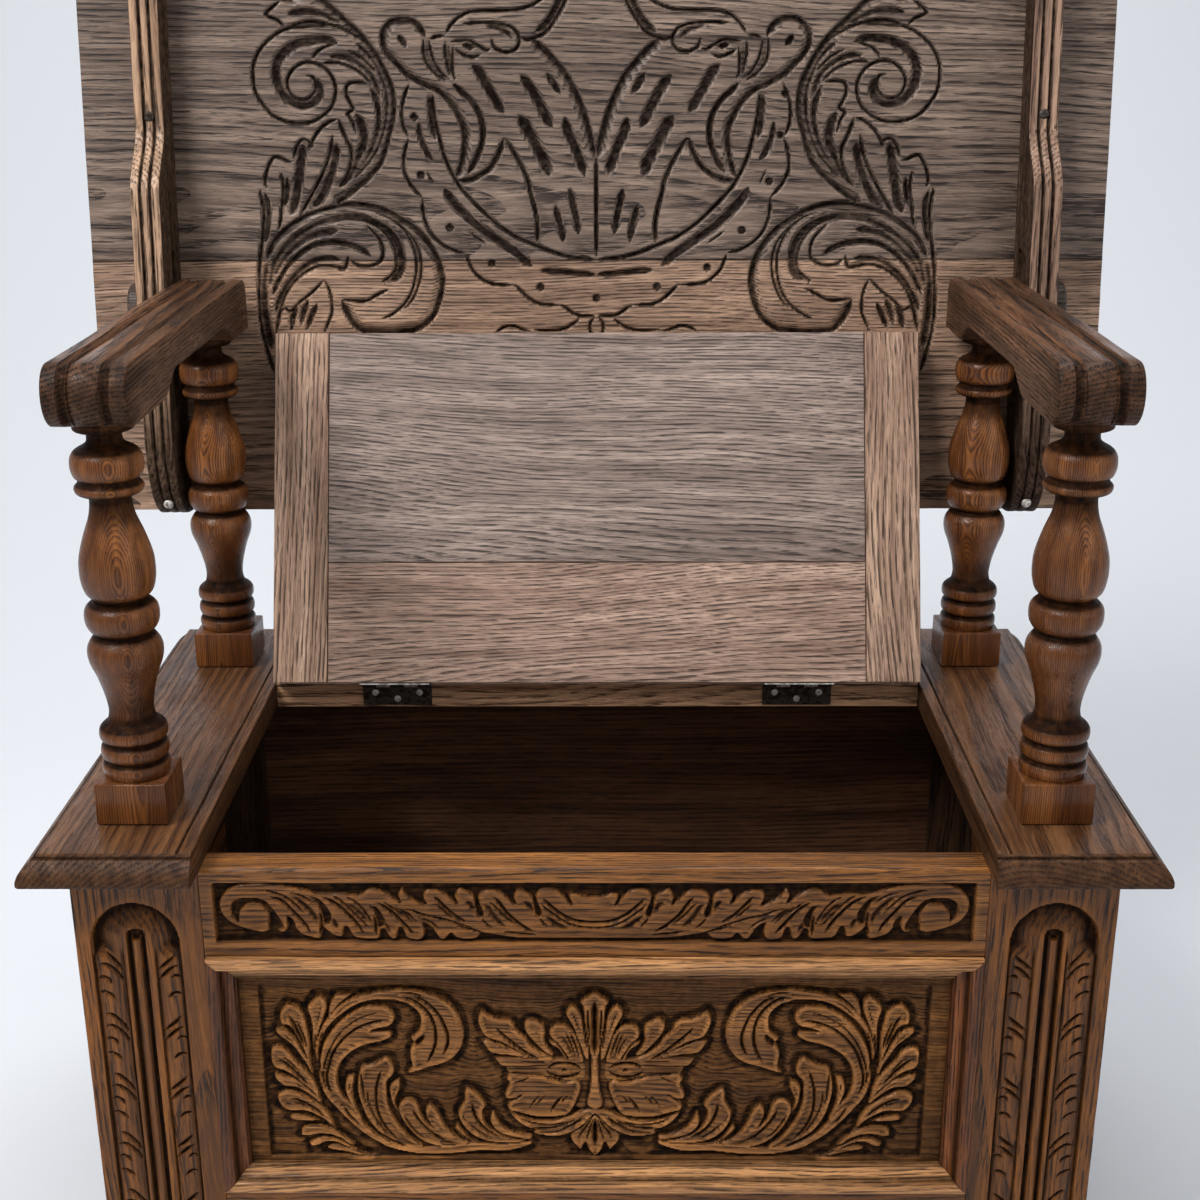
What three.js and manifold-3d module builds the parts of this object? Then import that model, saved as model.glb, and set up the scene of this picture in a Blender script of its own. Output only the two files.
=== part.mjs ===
// A carved oak settle bench of the kind called a monk's bench. A framed chest carries a hinged seat
// lid between two side caps, four turned posts carry two arms, and a table top hangs behind as the
// back, on slotted bearers that slide and turn on two wooden pegs at the rear of the arms.
// Millimetres, +Z up, the front faces -Y, the origin is under the middle of the bench on the floor.
import * as THREE from 'three';
import { mergeVertices } from 'three/addons/utils/BufferGeometryUtils.js';
import Module from 'manifold-3d';

const wasm = await Module();
wasm.setup();

// Clearances
const jointGap = 0.3;
const cutOverrun = 3;
const slideGap = 2;

// Chest carcase
const seatHeight = 435;
const chestHalfWidth = 390;
const chestFront = -207;
const chestBack = 235;
const frontStileWidth = 97;
const frontStileThickness = 32;
const rearStileWidth = 60;
const rearStileThickness = 28;
const frontRailThickness = 28;
const friezeHeight = 74;
const bottomRailUnder = 55;
const bottomRailHeight = 72;
const sideThickness = 22;
const sideTopRailHeight = 72;
const tenonLength = 20;
const tenonThickness = 10;
const tenonShoulder = 8;
const panelTongue = 8;
const sidePanelThickness = 10;
const backBoardThickness = 16;
const backBoardSetBack = 8;
const backBoardSeam = 250;
const battenWidth = 20;
const battenHeight = 17;
const chestBottomThickness = 12;

// Front carving grounds
const frontPanelThickness = 13;
const frontPanelMargin = 16;
const carvedGroundDepth = 5;
const friezeRecessHeight = 50;
const friezeRecessTopMargin = 11;
const friezeRecessEndMargin = 10;
const friezeGroundDepth = 4;
const friezeNoseRound = 6;
const mouldingWidth = 21;
const mouldingProud = 6.5;
const mouldingSeat = 9;
const archHalfWidth = 32;
const archCrown = 382;
const archFoot = 75;
const archGroove = 4;
const archGrooveDepth = 3.5;
const reedHalfWidth = 5;
const reedTopDrop = 24;

// Seat caps and rear seat rail
const capThickness = 23;
const capInnerHalf = 291;
const capOuterHalf = 403;
const capFront = -226;
const capRear = 247;
const capMouldProjection = 14;
const capCornerClip = 14;
const capTongue = 9;
const capTongueThickness = 8;

// Lid
const lidDrop = 1;
const lidThickness = 22;
const lidLength = 315;
const lidSideGap = 1.5;
const cleatWidth = 49;
const lidFrontBoardDepth = 207;
const lidTongue = 8;
const lidTongueThickness = 7;
const hingeLine = 102;
const lidRestGap = 0.5;

// Butt hinges
const hingeLength = 62;
const hingeOffset = 181;
const leafThickness = 1.1;
const leafGap = 0.3;
const leafHeight = 17;
const knuckleRadius = 2.6;
const knuckleCount = 5;
const hingePinRadius = 1.3;
const hingePinGap = 0.15;
const hingeScrewHeadRadius = 3.1;
const hingeScrewHeadDepth = 0.9;
const hingeScrewShankRadius = 1.4;
const hingeScrewLength = 15;
const hingeScrewSpacing = 20;
const hingeScrewHighDrop = 8;
const hingeScrewLowDrop = 14;

// Posts
const postHalfSpacing = 345;
const frontPostLine = -156;
const rearPostLine = 168;
const postBlockSide = 53;
const postBlockHeight = 33;
const postDowelRadius = 11;
const postDowelLength = 18;
const postMaxRadius = 27.4;

// Arms
const armTop = 785;
const armWidth = 59;
const armFront = -178;
const armBulge = 19;
const armRearOverhang = 11;
const armEndThickness = 45.5;
const armMiddleThickness = 29;
const armFrontBlock = 83;
const armRearBlock = 58;
const armOgee = 42;
const armRearRound = 10;
const armGrooveWidth = 6;
const armGrooveDepth = 3;
const armGrooveOffset = 14.5;

// Table top that hangs as the back
const topHalfWidth = 457;
const topHeight = 570;
const topThickness = 20;
const topPlankHeight = 228;
const middlePlankShare = 2 / 3;
const topLeanDegrees = 7;
const faceFromPeg = 24;
const pegBelowArmTop = 23.5;
const pegLine = 197;
const pegAboveTopFoot = 189;

// Bearers and pegs
const bearerThickness = 25.7;
const bearerDeep = 62;
const bearerShallow = 33;
const bearerFootRise = 80;
const bearerFootDepth = 50;
const bearerDeepTop = 285;
const bearerOgeeTop = 345;
const bearerTopMargin = 12;
const slotWidth = 13.6;
const slotFoot = 109;
const slotHead = 231;
const pegRadius = 6.5;
const pegInArm = 34;
const pegInArmGap = 0.3;
const knobRadius = 20;
const knobThickness = 13;
const knobRound = 3;
const bearerScrewHeadRadius = 4.6;
const bearerScrewHeadHeight = 2.6;
const bearerScrewShankRadius = 2.4;
const bearerScrewLength = 44;
const bearerScrewDomeShare = 0.7;
const bearerScrewFoot = 12;
const bearerScrewFootSeat = 25;
const bearerScrewMiddle = 352;
const bearerScrewHeadDrop = 65;

// How finely round shapes are divided
const postSides = 20;
const dowelSides = 16;
const screwSides = 10;
const halfRoundSteps = 10;
const slotEndSteps = 8;
const ogeeSteps = 6;
const cornerSteps = 4;

// Finishes
const carvedOak = { colour: 0x7a4a24, roughness: 0.5, metalness: 0 };
const paleOak = { colour: 0x8a5f3a, roughness: 0.55, metalness: 0 };
const darkOak = { colour: 0x3d2a1e, roughness: 0.45, metalness: 0 };
const topOak = { colour: 0x55402f, roughness: 0.5, metalness: 0 };
const chestInsideOak = { colour: 0x24170f, roughness: 0.8, metalness: 0 };
const turnedOak = { colour: 0x5e3218, roughness: 0.4, metalness: 0 };
const darkSteel = { colour: 0x4a4744, roughness: 0.45, metalness: 0.9 };

// Turns a closed three.js geometry into a solid that can be joined and cut, without the triangles
// that a turned profile collapses at its poles
function solidOf(geometry) {
  const bare = geometry.clone();
  bare.deleteAttribute('normal');
  bare.deleteAttribute('uv');
  const welded = mergeVertices(bare);
  const corners = welded.index.array;
  const kept = [];
  for (let start = 0; start < corners.length; start += 3) {
    const [a, b, c] = corners.slice(start, start + 3);
    if (a !== b && b !== c && c !== a) kept.push(a, b, c);
  }
  const mesh = new wasm.Mesh({
    numProp: 3,
    vertProperties: new Float32Array(welded.attributes.position.array),
    triVerts: new Uint32Array(kept),
  });
  return new wasm.Manifold(mesh);
}

// Adds one named piece to a group, centred on its own middle and placed by its position
function addPiece(group, name, solid, finish) {
  const mesh = solid.getMesh();
  const geometry = new THREE.BufferGeometry();
  geometry.setAttribute('position', new THREE.BufferAttribute(Float32Array.from(mesh.vertProperties), 3));
  geometry.setIndex(new THREE.BufferAttribute(Uint32Array.from(mesh.triVerts), 1));
  geometry.computeBoundingBox();
  const middle = geometry.boundingBox.getCenter(new THREE.Vector3());
  geometry.translate(-middle.x, -middle.y, -middle.z);
  geometry.computeVertexNormals();
  const material = new THREE.MeshStandardMaterial({
    color: finish.colour,
    roughness: finish.roughness,
    metalness: finish.metalness,
  });
  const piece = new THREE.Mesh(geometry, material);
  piece.name = name;
  piece.position.copy(middle);
  group.add(piece);
  return piece;
}

// A box between two limits on each axis
function box(x0, x1, y0, y1, z0, z1) {
  const geometry = new THREE.BoxGeometry(Math.abs(x1 - x0), Math.abs(y1 - y0), Math.abs(z1 - z0));
  geometry.translate((x0 + x1) / 2, (y0 + y1) / 2, (z0 + z1) / 2);
  return solidOf(geometry);
}

// The six limits of a box, grown on every side
function grown(limits, amount) {
  const [x0, x1, y0, y1, z0, z1] = limits;
  const [left, right] = [Math.min(x0, x1), Math.max(x0, x1)];
  return [left - amount, right + amount, y0 - amount, y1 + amount, z0 - amount, z1 + amount];
}

// Cuts the housings that other pieces fit into, with the joint gap all round
function housed(solid, ...boxes) {
  let result = solid;
  for (const limits of boxes) {
    result = result.subtract(box(...grown(limits, jointGap)));
  }
  return result;
}

// A profile drawn in x and y of its own plane, run along one axis of the bench
function prism(points, axis, from, to) {
  const shape = new THREE.Shape(points.map(([a, b]) => new THREE.Vector2(a, b)));
  const geometry = new THREE.ExtrudeGeometry(shape, { depth: to - from, bevelEnabled: false, steps: 1 });
  geometry.translate(0, 0, from);
  const turn = new THREE.Matrix4();
  const [axisX, axisY, axisZ] = [
    new THREE.Vector3(1, 0, 0),
    new THREE.Vector3(0, 1, 0),
    new THREE.Vector3(0, 0, 1),
  ];
  if (axis === 'x') turn.makeBasis(axisY, axisZ, axisX);
  if (axis === 'y') turn.makeBasis(axisZ, axisX, axisY);
  geometry.applyMatrix4(turn);
  return solidOf(geometry);
}

// A turned solid: its profile is radius and distance along the axis, starting and ending on the axis
function turned(profile, sides, axis, x, y, z) {
  const geometry = new THREE.LatheGeometry(profile.map(([r, h]) => new THREE.Vector2(r, h)), sides);
  if (axis === 'z') geometry.rotateX(Math.PI / 2);
  if (axis === 'x') geometry.rotateZ(-Math.PI / 2);
  geometry.translate(x, y, z);
  return solidOf(geometry);
}

// A plain round bar between two places on its axis
function bar(radius, from, to, sides, axis, x, y, z) {
  return turned([[0, from], [radius, from], [radius, to], [0, to]], sides, axis, x, y, z);
}

// Points of an S curve from one place to another, level at both ends
function ogee(from, to, steps) {
  const points = [];
  for (let step = 0; step <= steps; step += 1) {
    const share = step / steps;
    const rise = (1 - Math.cos(Math.PI * share)) / 2;
    points.push([from[0] + (to[0] - from[0]) * share, from[1] + (to[1] - from[1]) * rise]);
  }
  return points;
}

// Points of an arc about a centre, by angles in degrees
function arc(centreA, centreB, radius, fromDegrees, toDegrees, steps) {
  const points = [];
  for (let step = 0; step <= steps; step += 1) {
    const angle = THREE.MathUtils.degToRad(fromDegrees + ((toDegrees - fromDegrees) * step) / steps);
    points.push([centreA + radius * Math.cos(angle), centreB + radius * Math.sin(angle)]);
  }
  return points;
}

const bench = new THREE.Group();
const chest = new THREE.Group();
const seat = new THREE.Group();
const lid = new THREE.Group();
const top = new THREE.Group();
bench.add(chest, seat, lid, top);
const sides = [['left', -1], ['right', 1]];

// Places worked out from the driving dimensions
const capUnder = seatHeight - capThickness;
const carcaseTop = capUnder - jointGap;
const stileInner = chestHalfWidth - frontStileWidth;
const stileRear = chestFront + frontStileThickness;
const rearStileFront = chestBack - rearStileThickness;
const rearStileInner = chestHalfWidth - rearStileWidth;
const sideInner = chestHalfWidth - sideThickness;
const friezeUnder = carcaseTop - friezeHeight;
const bottomRailTop = bottomRailUnder + bottomRailHeight;
const tenonSetBack = (frontRailThickness - tenonThickness) / 2;
const sideRailUnder = carcaseTop - sideTopRailHeight;
const sideTenonInner = sideInner + (sideThickness - tenonThickness) / 2;

// Tenons of the front rails run into the front stiles
function frontTenon(side, under, over) {
  const from = chestFront + tenonSetBack;
  return [
    side * (stileInner - jointGap), side * (stileInner + tenonLength), from, from + tenonThickness,
    under + tenonShoulder, over - tenonShoulder,
  ];
}

// Tenons of the side rails run into the front or the rear stile
function sideTenon(side, atRear, under, over) {
  const start = atRear ? rearStileFront - jointGap : stileRear - tenonLength;
  return [
    side * sideTenonInner, side * (sideTenonInner + tenonThickness),
    start, start + tenonLength + jointGap, under + tenonShoulder, over - tenonShoulder,
  ];
}

// The front panel and the side panels stand in grooves of their frames
const panelFront = chestFront + mouldingSeat + jointGap;
const frontPanelLimits = [
  -stileInner - panelTongue, stileInner + panelTongue, panelFront, panelFront + frontPanelThickness,
  bottomRailTop - panelTongue, friezeUnder + panelTongue,
];
function sidePanelLimits(side) {
  const inner = sideInner + (sideThickness - sidePanelThickness) / 2;
  return [
    side * inner, side * (inner + sidePanelThickness), stileRear - panelTongue,
    rearStileFront + panelTongue, bottomRailTop - panelTongue, sideRailUnder + panelTongue,
  ];
}
const backFace = rearStileFront + backBoardSetBack;
function backBoardLimits(under, over) {
  const reach = rearStileInner + panelTongue;
  return [-reach, reach, backFace, backFace + backBoardThickness, under, over];
}
const backBoards = [
  ['back_board_lower', backBoardLimits(bottomRailUnder, backBoardSeam)],
  ['back_board_upper', backBoardLimits(backBoardSeam + jointGap, carcaseTop)],
];

// Front stiles: each is cut with an arched groove and a reed between two straight grooves
function archOutline(side, inset) {
  const middle = side * (stileInner + frontStileWidth / 2);
  const radius = archHalfWidth - inset;
  const springing = archCrown - archHalfWidth;
  const curve = arc(middle, springing, radius, 0, 180, halfRoundSteps);
  return [[middle - radius, archFoot + inset], [middle + radius, archFoot + inset], ...curve];
}
for (const [word, side] of sides) {
  const middle = side * (stileInner + frontStileWidth / 2);
  const groundFront = chestFront - cutOverrun;
  const groundBack = chestFront + archGrooveDepth;
  let stile = box(
    side * stileInner, side * chestHalfWidth, chestFront, stileRear, 0, carcaseTop,
  );
  const outer = prism(archOutline(side, 0).map(([x, z]) => [z, x]), 'y', groundFront, groundBack);
  const inner = prism(
    archOutline(side, archGroove).map(([x, z]) => [z, x]), 'y',
    groundFront - cutOverrun, groundBack + cutOverrun,
  );
  stile = stile.subtract(outer.subtract(inner));
  for (const edge of [-1, 1]) {
    const near = middle + edge * reedHalfWidth;
    const far = middle + edge * (reedHalfWidth + archGroove);
    stile = stile.subtract(
      box(near, far, groundFront, groundBack, archFoot + archHalfWidth, archCrown - reedTopDrop),
    );
  }
  stile = housed(
    stile, frontPanelLimits, sidePanelLimits(side),
    frontTenon(side, friezeUnder, carcaseTop), frontTenon(side, bottomRailUnder, bottomRailTop),
    sideTenon(side, false, sideRailUnder, carcaseTop),
    sideTenon(side, false, bottomRailUnder, bottomRailTop),
  );
  addPiece(chest, `front_stile_${word}`, stile, carvedOak);
}

// Rear stiles
for (const [word, side] of sides) {
  const stile = housed(
    box(side * rearStileInner, side * chestHalfWidth, rearStileFront, chestBack, 0, carcaseTop),
    sidePanelLimits(side), backBoards[0][1], backBoards[1][1],
    sideTenon(side, true, sideRailUnder, carcaseTop),
    sideTenon(side, true, bottomRailUnder, bottomRailTop),
  );
  addPiece(chest, `rear_stile_${word}`, stile, darkOak);
}

// Front rails: the frieze rail has a sunk carving ground and a rounded top edge
function frontRail(under, over) {
  const reach = stileInner - jointGap;
  let rail = box(-reach, reach, chestFront, chestFront + frontRailThickness, under, over);
  for (const [, side] of sides) rail = rail.add(box(...frontTenon(side, under, over)));
  return housed(rail, frontPanelLimits);
}
const friezeRecessTop = carcaseTop - friezeRecessTopMargin;
const friezeRecessHalf = stileInner - friezeRecessEndMargin;
const friezeGround = box(
  -friezeRecessHalf, friezeRecessHalf, chestFront - cutOverrun, chestFront + friezeGroundDepth,
  friezeRecessTop - friezeRecessHeight, friezeRecessTop,
);
const noseCorner = prism([
  [chestFront - cutOverrun, carcaseTop + cutOverrun],
  [chestFront - cutOverrun, carcaseTop - friezeNoseRound],
  ...arc(chestFront + friezeNoseRound, carcaseTop - friezeNoseRound, friezeNoseRound, 180, 90, cornerSteps),
  [chestFront + friezeNoseRound, carcaseTop + cutOverrun],
], 'x', -stileInner, stileInner);
const friezeRail = frontRail(friezeUnder, carcaseTop).subtract(friezeGround).subtract(noseCorner);
addPiece(chest, 'frieze_rail', friezeRail, carvedOak);
addPiece(chest, 'bottom_rail', frontRail(bottomRailUnder, bottomRailTop), carvedOak);

// Front panel with its sunk carving ground
const groundHalf = stileInner - mouldingWidth - frontPanelMargin;
const groundUnder = bottomRailTop + mouldingWidth + frontPanelMargin;
const groundTop = friezeUnder - mouldingWidth - frontPanelMargin;
const panelGround = box(
  -groundHalf, groundHalf, panelFront - cutOverrun, panelFront + carvedGroundDepth, groundUnder, groundTop,
);
addPiece(chest, 'front_panel', box(...frontPanelLimits).subtract(panelGround), carvedOak);

// Panel moulding: four mitred strips round the opening, fuller at the outer edge
const mouldingShares = [
  [0, 1], [0, -0.62], [0.08, -0.9], [0.24, -1], [0.4, -0.85], [0.5, -0.35], [0.64, 0.2], [0.84, 0.5],
  [0.92, 0.4], [1, 0.6], [1, 1],
];
function mouldingPoint([across, level]) {
  const depth = level < 0 ? level * mouldingProud : level * mouldingSeat;
  return [across * mouldingWidth, chestFront + depth];
}
const openingHalf = stileInner - jointGap;
const openingUnder = bottomRailTop + jointGap;
const openingTop = friezeUnder - jointGap;
const openingMiddle = (openingUnder + openingTop) / 2;
function mitreCutter(corners) {
  return prism(
    corners.map(([x, z]) => [z, x]), 'y', chestFront - mouldingProud - cutOverrun,
    chestFront + mouldingSeat + cutOverrun,
  );
}
for (const [word, sign] of [['bottom', -1], ['top', 1]]) {
  const edge = sign > 0 ? openingTop : openingUnder;
  const strip = prism(
    mouldingShares.map(mouldingPoint).map(([across, y]) => [y, edge - sign * across]), 'x',
    -openingHalf, openingHalf,
  );
  const inside = openingHalf - mouldingWidth;
  const mitre = mitreCutter([
    [-openingHalf + jointGap, edge], [openingHalf - jointGap, edge],
    [inside - jointGap, edge - sign * mouldingWidth], [-inside + jointGap, edge - sign * mouldingWidth],
  ]);
  addPiece(chest, `panel_moulding_${word}`, strip.intersect(mitre), carvedOak);
}
for (const [word, side] of sides) {
  const edge = side * openingHalf;
  const strip = prism(
    mouldingShares.map(mouldingPoint).map(([across, y]) => [edge - side * across, y]), 'z',
    openingUnder, openingTop,
  );
  const mitre = mitreCutter([
    [edge, openingUnder + jointGap], [edge, openingTop - jointGap],
    [edge - side * mouldingWidth, openingTop - mouldingWidth - jointGap],
    [edge - side * mouldingWidth, openingUnder + mouldingWidth + jointGap],
  ]);
  addPiece(chest, `panel_moulding_${word}`, strip.intersect(mitre), carvedOak);
}

// Side frames: a top rail, a bottom rail and a plain panel each side
for (const [word, side] of sides) {
  const rails = [['top', sideRailUnder, carcaseTop], ['bottom', bottomRailUnder, bottomRailTop]];
  for (const [level, under, over] of rails) {
    let rail = box(
      side * sideInner, side * chestHalfWidth, stileRear + jointGap, rearStileFront - jointGap, under, over,
    );
    for (const atRear of [false, true]) rail = rail.add(box(...sideTenon(side, atRear, under, over)));
    addPiece(chest, `side_${level}_rail_${word}`, housed(rail, sidePanelLimits(side)), paleOak);
  }
  addPiece(chest, `side_panel_${word}`, box(...sidePanelLimits(side)), paleOak);
}

// Back boards, chest bottom and the battens it lies on
for (const [name, limits] of backBoards) addPiece(chest, name, box(...limits), chestInsideOak);
const insideFront = stileRear + jointGap;
const insideRear = rearStileFront - jointGap;
const battenOuter = sideInner - jointGap;
const chestBottomUnder = bottomRailUnder + battenHeight + jointGap;
addPiece(chest, 'chest_bottom', box(
  -battenOuter, battenOuter, insideFront, insideRear,
  chestBottomUnder, chestBottomUnder + chestBottomThickness,
), chestInsideOak);
for (const [word, side] of sides) {
  addPiece(chest, `bottom_batten_${word}`, box(
    side * (battenOuter - battenWidth), side * battenOuter, insideFront, insideRear,
    bottomRailUnder, bottomRailUnder + battenHeight,
  ), chestInsideOak);
}

// Rear seat rail, tongued into the caps, with notches for the hinge knuckles
const hingeHeight = seatHeight - lidDrop;
const leafSpread = leafGap / 2 + leafThickness + jointGap;
const railFront = hingeLine + leafSpread;
const railUnder = seatHeight - capThickness;
const tongueUnder = railUnder + (hingeHeight - railUnder - capTongueThickness) / 2;
function capTongueLimits(side) {
  const start = side * (capInnerHalf - cutOverrun);
  return [
    start, side * (capInnerHalf + capTongue), railFront, capRear - capCornerClip,
    tongueUnder, tongueUnder + capTongueThickness,
  ];
}
const knuckleNotch = knuckleRadius + 2 * jointGap;
function knuckleNotches(axisY, axisZ) {
  const half = hingeLength / 2 + jointGap;
  const notches = sides.map(([, side]) => box(
    side * hingeOffset - half, side * hingeOffset + half, axisY - knuckleNotch,
    axisY + knuckleNotch, axisZ - knuckleNotch, axisZ + knuckleNotch,
  ));
  return notches[0].add(notches[1]);
}
let rearRail = box(
  -capInnerHalf + jointGap, capInnerHalf - jointGap, railFront, capRear, railUnder, hingeHeight,
);
for (const [, side] of sides) rearRail = rearRail.add(box(...capTongueLimits(side)));
rearRail = rearRail.subtract(knuckleNotches(hingeLine, hingeHeight));

// Seat caps: a moulded front and outer edge, mitred at the corner, with holes for the post dowels
const capEdgeShares = [
  [0, 0], [0.06, -0.12], [0.24, -0.15], [0.55, -0.28], [0.84, -0.5], [1, -0.74], [1, -0.9], [0.9, -1],
];
const capEdge = capEdgeShares.map(([out, down]) => [out * capMouldProjection, down * capThickness]);
for (const [word, side] of sides) {
  const run = prism([
    [seatHeight, side * capInnerHalf],
    ...capEdge.map(([out, down]) => [seatHeight + down, side * (capOuterHalf + out)]),
    [capUnder, side * capInnerHalf],
  ], 'y', capFront - capMouldProjection, capRear);
  const front = prism([
    [capRear, seatHeight],
    ...capEdge.map(([out, down]) => [capFront - out, seatHeight + down]),
    [capRear, capUnder],
  ], 'x', -capOuterHalf - capMouldProjection, capOuterHalf + capMouldProjection);
  let cap = run.intersect(front);
  const clipOuter = side * (capOuterHalf + capMouldProjection);
  const clip = prism([
    [clipOuter + side * cutOverrun, capRear - capCornerClip],
    [clipOuter, capRear - capCornerClip],
    [clipOuter - side * capCornerClip, capRear],
    [clipOuter - side * capCornerClip, capRear + cutOverrun],
    [clipOuter + side * cutOverrun, capRear + cutOverrun],
  ], 'z', capUnder - cutOverrun, seatHeight + cutOverrun);
  cap = housed(cap.subtract(clip), capTongueLimits(side));
  for (const line of [frontPostLine, rearPostLine]) {
    cap = cap.subtract(bar(
      postDowelRadius + jointGap, seatHeight - postDowelLength - jointGap, seatHeight + cutOverrun,
      dowelSides, 'z', side * postHalfSpacing, line, 0,
    ));
  }
  addPiece(seat, `seat_cap_${word}`, cap, darkOak);
}

// Butt hinges: each leaf is drawn about the hinge axis, with the knuckles that belong to it
const plateTop = knuckleRadius + jointGap;
function hingeLeaf(middle, axisY, axisZ, fixed) {
  const sign = fixed ? 1 : -1;
  const near = axisY + sign * (leafGap / 2);
  const far = axisY + sign * (leafGap / 2 + leafThickness);
  const step = hingeLength / knuckleCount;
  let leaf = box(
    middle - hingeLength / 2, middle + hingeLength / 2, near, far,
    axisZ - plateTop - leafHeight, axisZ - plateTop,
  );
  for (let index = fixed ? 0 : 1; index < knuckleCount; index += 2) {
    const from = middle - hingeLength / 2 + index * step + leafGap / 2;
    const to = from + step - leafGap;
    leaf = leaf.add(bar(knuckleRadius, from, to, dowelSides, 'x', 0, axisY, axisZ));
    leaf = leaf.add(box(from, to, near, far, axisZ - plateTop - leafThickness, axisZ));
  }
  return leaf.subtract(bar(
    hingePinRadius + hingePinGap, middle - hingeLength, middle + hingeLength, dowelSides, 'x',
    0, axisY, axisZ,
  ));
}
function hingeScrew(x, y, z) {
  return turned([
    [0, 0], [hingeScrewHeadRadius, 0], [hingeScrewShankRadius, hingeScrewHeadDepth],
    [hingeScrewShankRadius, hingeScrewLength], [0, hingeScrewLength],
  ], screwSides, 'y', x, y, z);
}
function hingeScrewHole(x, y, z) {
  const head = hingeScrewHeadRadius + jointGap;
  const shank = hingeScrewShankRadius + jointGap;
  return turned([
    [0, -cutOverrun], [head, -cutOverrun], [head, 0], [shank, hingeScrewHeadDepth + jointGap],
    [shank, hingeScrewLength + jointGap], [0, hingeScrewLength + jointGap],
  ], screwSides, 'y', x, y, z);
}
const hingeScrewPlaces = [
  [-hingeScrewSpacing, hingeScrewHighDrop],
  [0, hingeScrewLowDrop],
  [hingeScrewSpacing, hingeScrewHighDrop],
];
for (const [word, side] of sides) {
  const middle = side * hingeOffset;
  let leaf = hingeLeaf(middle, hingeLine, hingeHeight, true);
  hingeScrewPlaces.forEach(([along, drop], index) => {
    const place = [middle + along, hingeLine + leafGap / 2, hingeHeight - drop];
    const hole = hingeScrewHole(...place);
    leaf = leaf.subtract(hole);
    rearRail = rearRail.subtract(hole);
    addPiece(seat, `hinge_screw_${word}_${index + 1}`, hingeScrew(...place), darkSteel);
  });
  addPiece(seat, `hinge_leaf_fixed_${word}`, leaf, darkSteel);
  addPiece(seat, `hinge_pin_${word}`, bar(
    hingePinRadius, middle - hingeLength / 2, middle + hingeLength / 2, dowelSides, 'x',
    0, hingeLine, hingeHeight,
  ), darkSteel);
}
addPiece(seat, 'rear_seat_rail', rearRail, paleOak);

// Lid, drawn closed about the hinge axis and then turned open: two boards between two cleats
const lidHalf = capInnerHalf - lidSideGap;
const lidRear = -leafSpread;
const lidFront = lidRear - lidLength;
const pegHeight = armTop - pegBelowArmTop;
const topLean = THREE.MathUtils.degToRad(topLeanDegrees);
// Open, its front edge leans on the face of the table top behind it
const hingeToFace = faceFromPeg - lidRestGap - (hingeLine - pegLine) * Math.cos(topLean)
  + (hingeHeight - pegHeight) * Math.sin(topLean);
const lidLean = topLean + Math.asin(hingeToFace / -lidFront);
lid.position.set(0, hingeLine, hingeHeight);
lid.rotation.x = -Math.PI / 2 - lidLean;
const boardHalf = lidHalf - cleatWidth;
const lidSeam = lidFront + lidFrontBoardDepth;
const lidTongueUnder = -(lidThickness + lidTongueThickness) / 2;
function lidTongueLimits(front, rear) {
  const reach = boardHalf + lidTongue;
  return [
    -reach, reach, front + lidTongue, rear - lidTongue, lidTongueUnder, lidTongueUnder + lidTongueThickness,
  ];
}
const lidBoards = [['lid_board_front', lidFront, lidSeam], ['lid_board_rear', lidSeam + jointGap, lidRear]];
for (const [name, front, rear] of lidBoards) {
  const board = box(-boardHalf, boardHalf, front, rear, -lidThickness, 0);
  const tongued = board.add(box(...lidTongueLimits(front, rear)));
  addPiece(lid, name, rear === lidRear ? tongued.subtract(knuckleNotches(0, 0)) : tongued, topOak);
}
for (const [word, side] of sides) {
  const cleat = housed(
    box(side * (boardHalf + jointGap), side * lidHalf, lidFront, lidRear, -lidThickness, 0),
    ...lidBoards.map(([, front, rear]) => lidTongueLimits(front, rear)),
  );
  addPiece(lid, `lid_cleat_${word}`, cleat, topOak);
  addPiece(lid, `hinge_leaf_lid_${word}`, hingeLeaf(side * hingeOffset, 0, 0, false), darkSteel);
}

// Posts: a square block and a turned baluster, with a round dowel at each end
const armUnder = armTop - armEndThickness;
const turningLength = armUnder - jointGap - seatHeight - postBlockHeight;
const turningShares = [
  [0.86, 0], [0.92, 0.02], [0.88, 0.042], [0.82, 0.049], [0.88, 0.057], [0.91, 0.074], [0.88, 0.091],
  [0.82, 0.1], [0.88, 0.108], [0.92, 0.127], [0.87, 0.146], [0.65, 0.162], [0.6, 0.19], [0.67, 0.239],
  [0.86, 0.3], [0.97, 0.333], [1, 0.357], [0.93, 0.385], [0.75, 0.412], [0.89, 0.434], [0.98, 0.465],
  [0.91, 0.488], [0.71, 0.505], [0.95, 0.55], [1, 0.589], [0.95, 0.633], [0.75, 0.685], [0.58, 0.74],
  [0.55, 0.785], [0.86, 0.806], [0.89, 0.819], [0.79, 0.843], [0.93, 0.87], [0.93, 0.903], [0.6, 0.936],
  [0.46, 0.955], [0.74, 0.971], [0.79, 0.985], [0.76, 1],
];
function post(x, y) {
  const blockTop = seatHeight + jointGap + postBlockHeight;
  const half = postBlockSide / 2;
  const baluster = turned([
    [0, seatHeight - postDowelLength], [postDowelRadius, seatHeight - postDowelLength],
    [postDowelRadius, blockTop - cutOverrun],
    ...turningShares.map(([out, up]) => [
      out * postMaxRadius, blockTop + up * (turningLength - jointGap),
    ]),
    [postDowelRadius, armUnder - jointGap], [postDowelRadius, armUnder + postDowelLength],
    [0, armUnder + postDowelLength],
  ], postSides, 'z', x, y, 0);
  return baluster.add(box(x - half, x + half, y - half, y + half, seatHeight + jointGap, blockTop));
}
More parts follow.
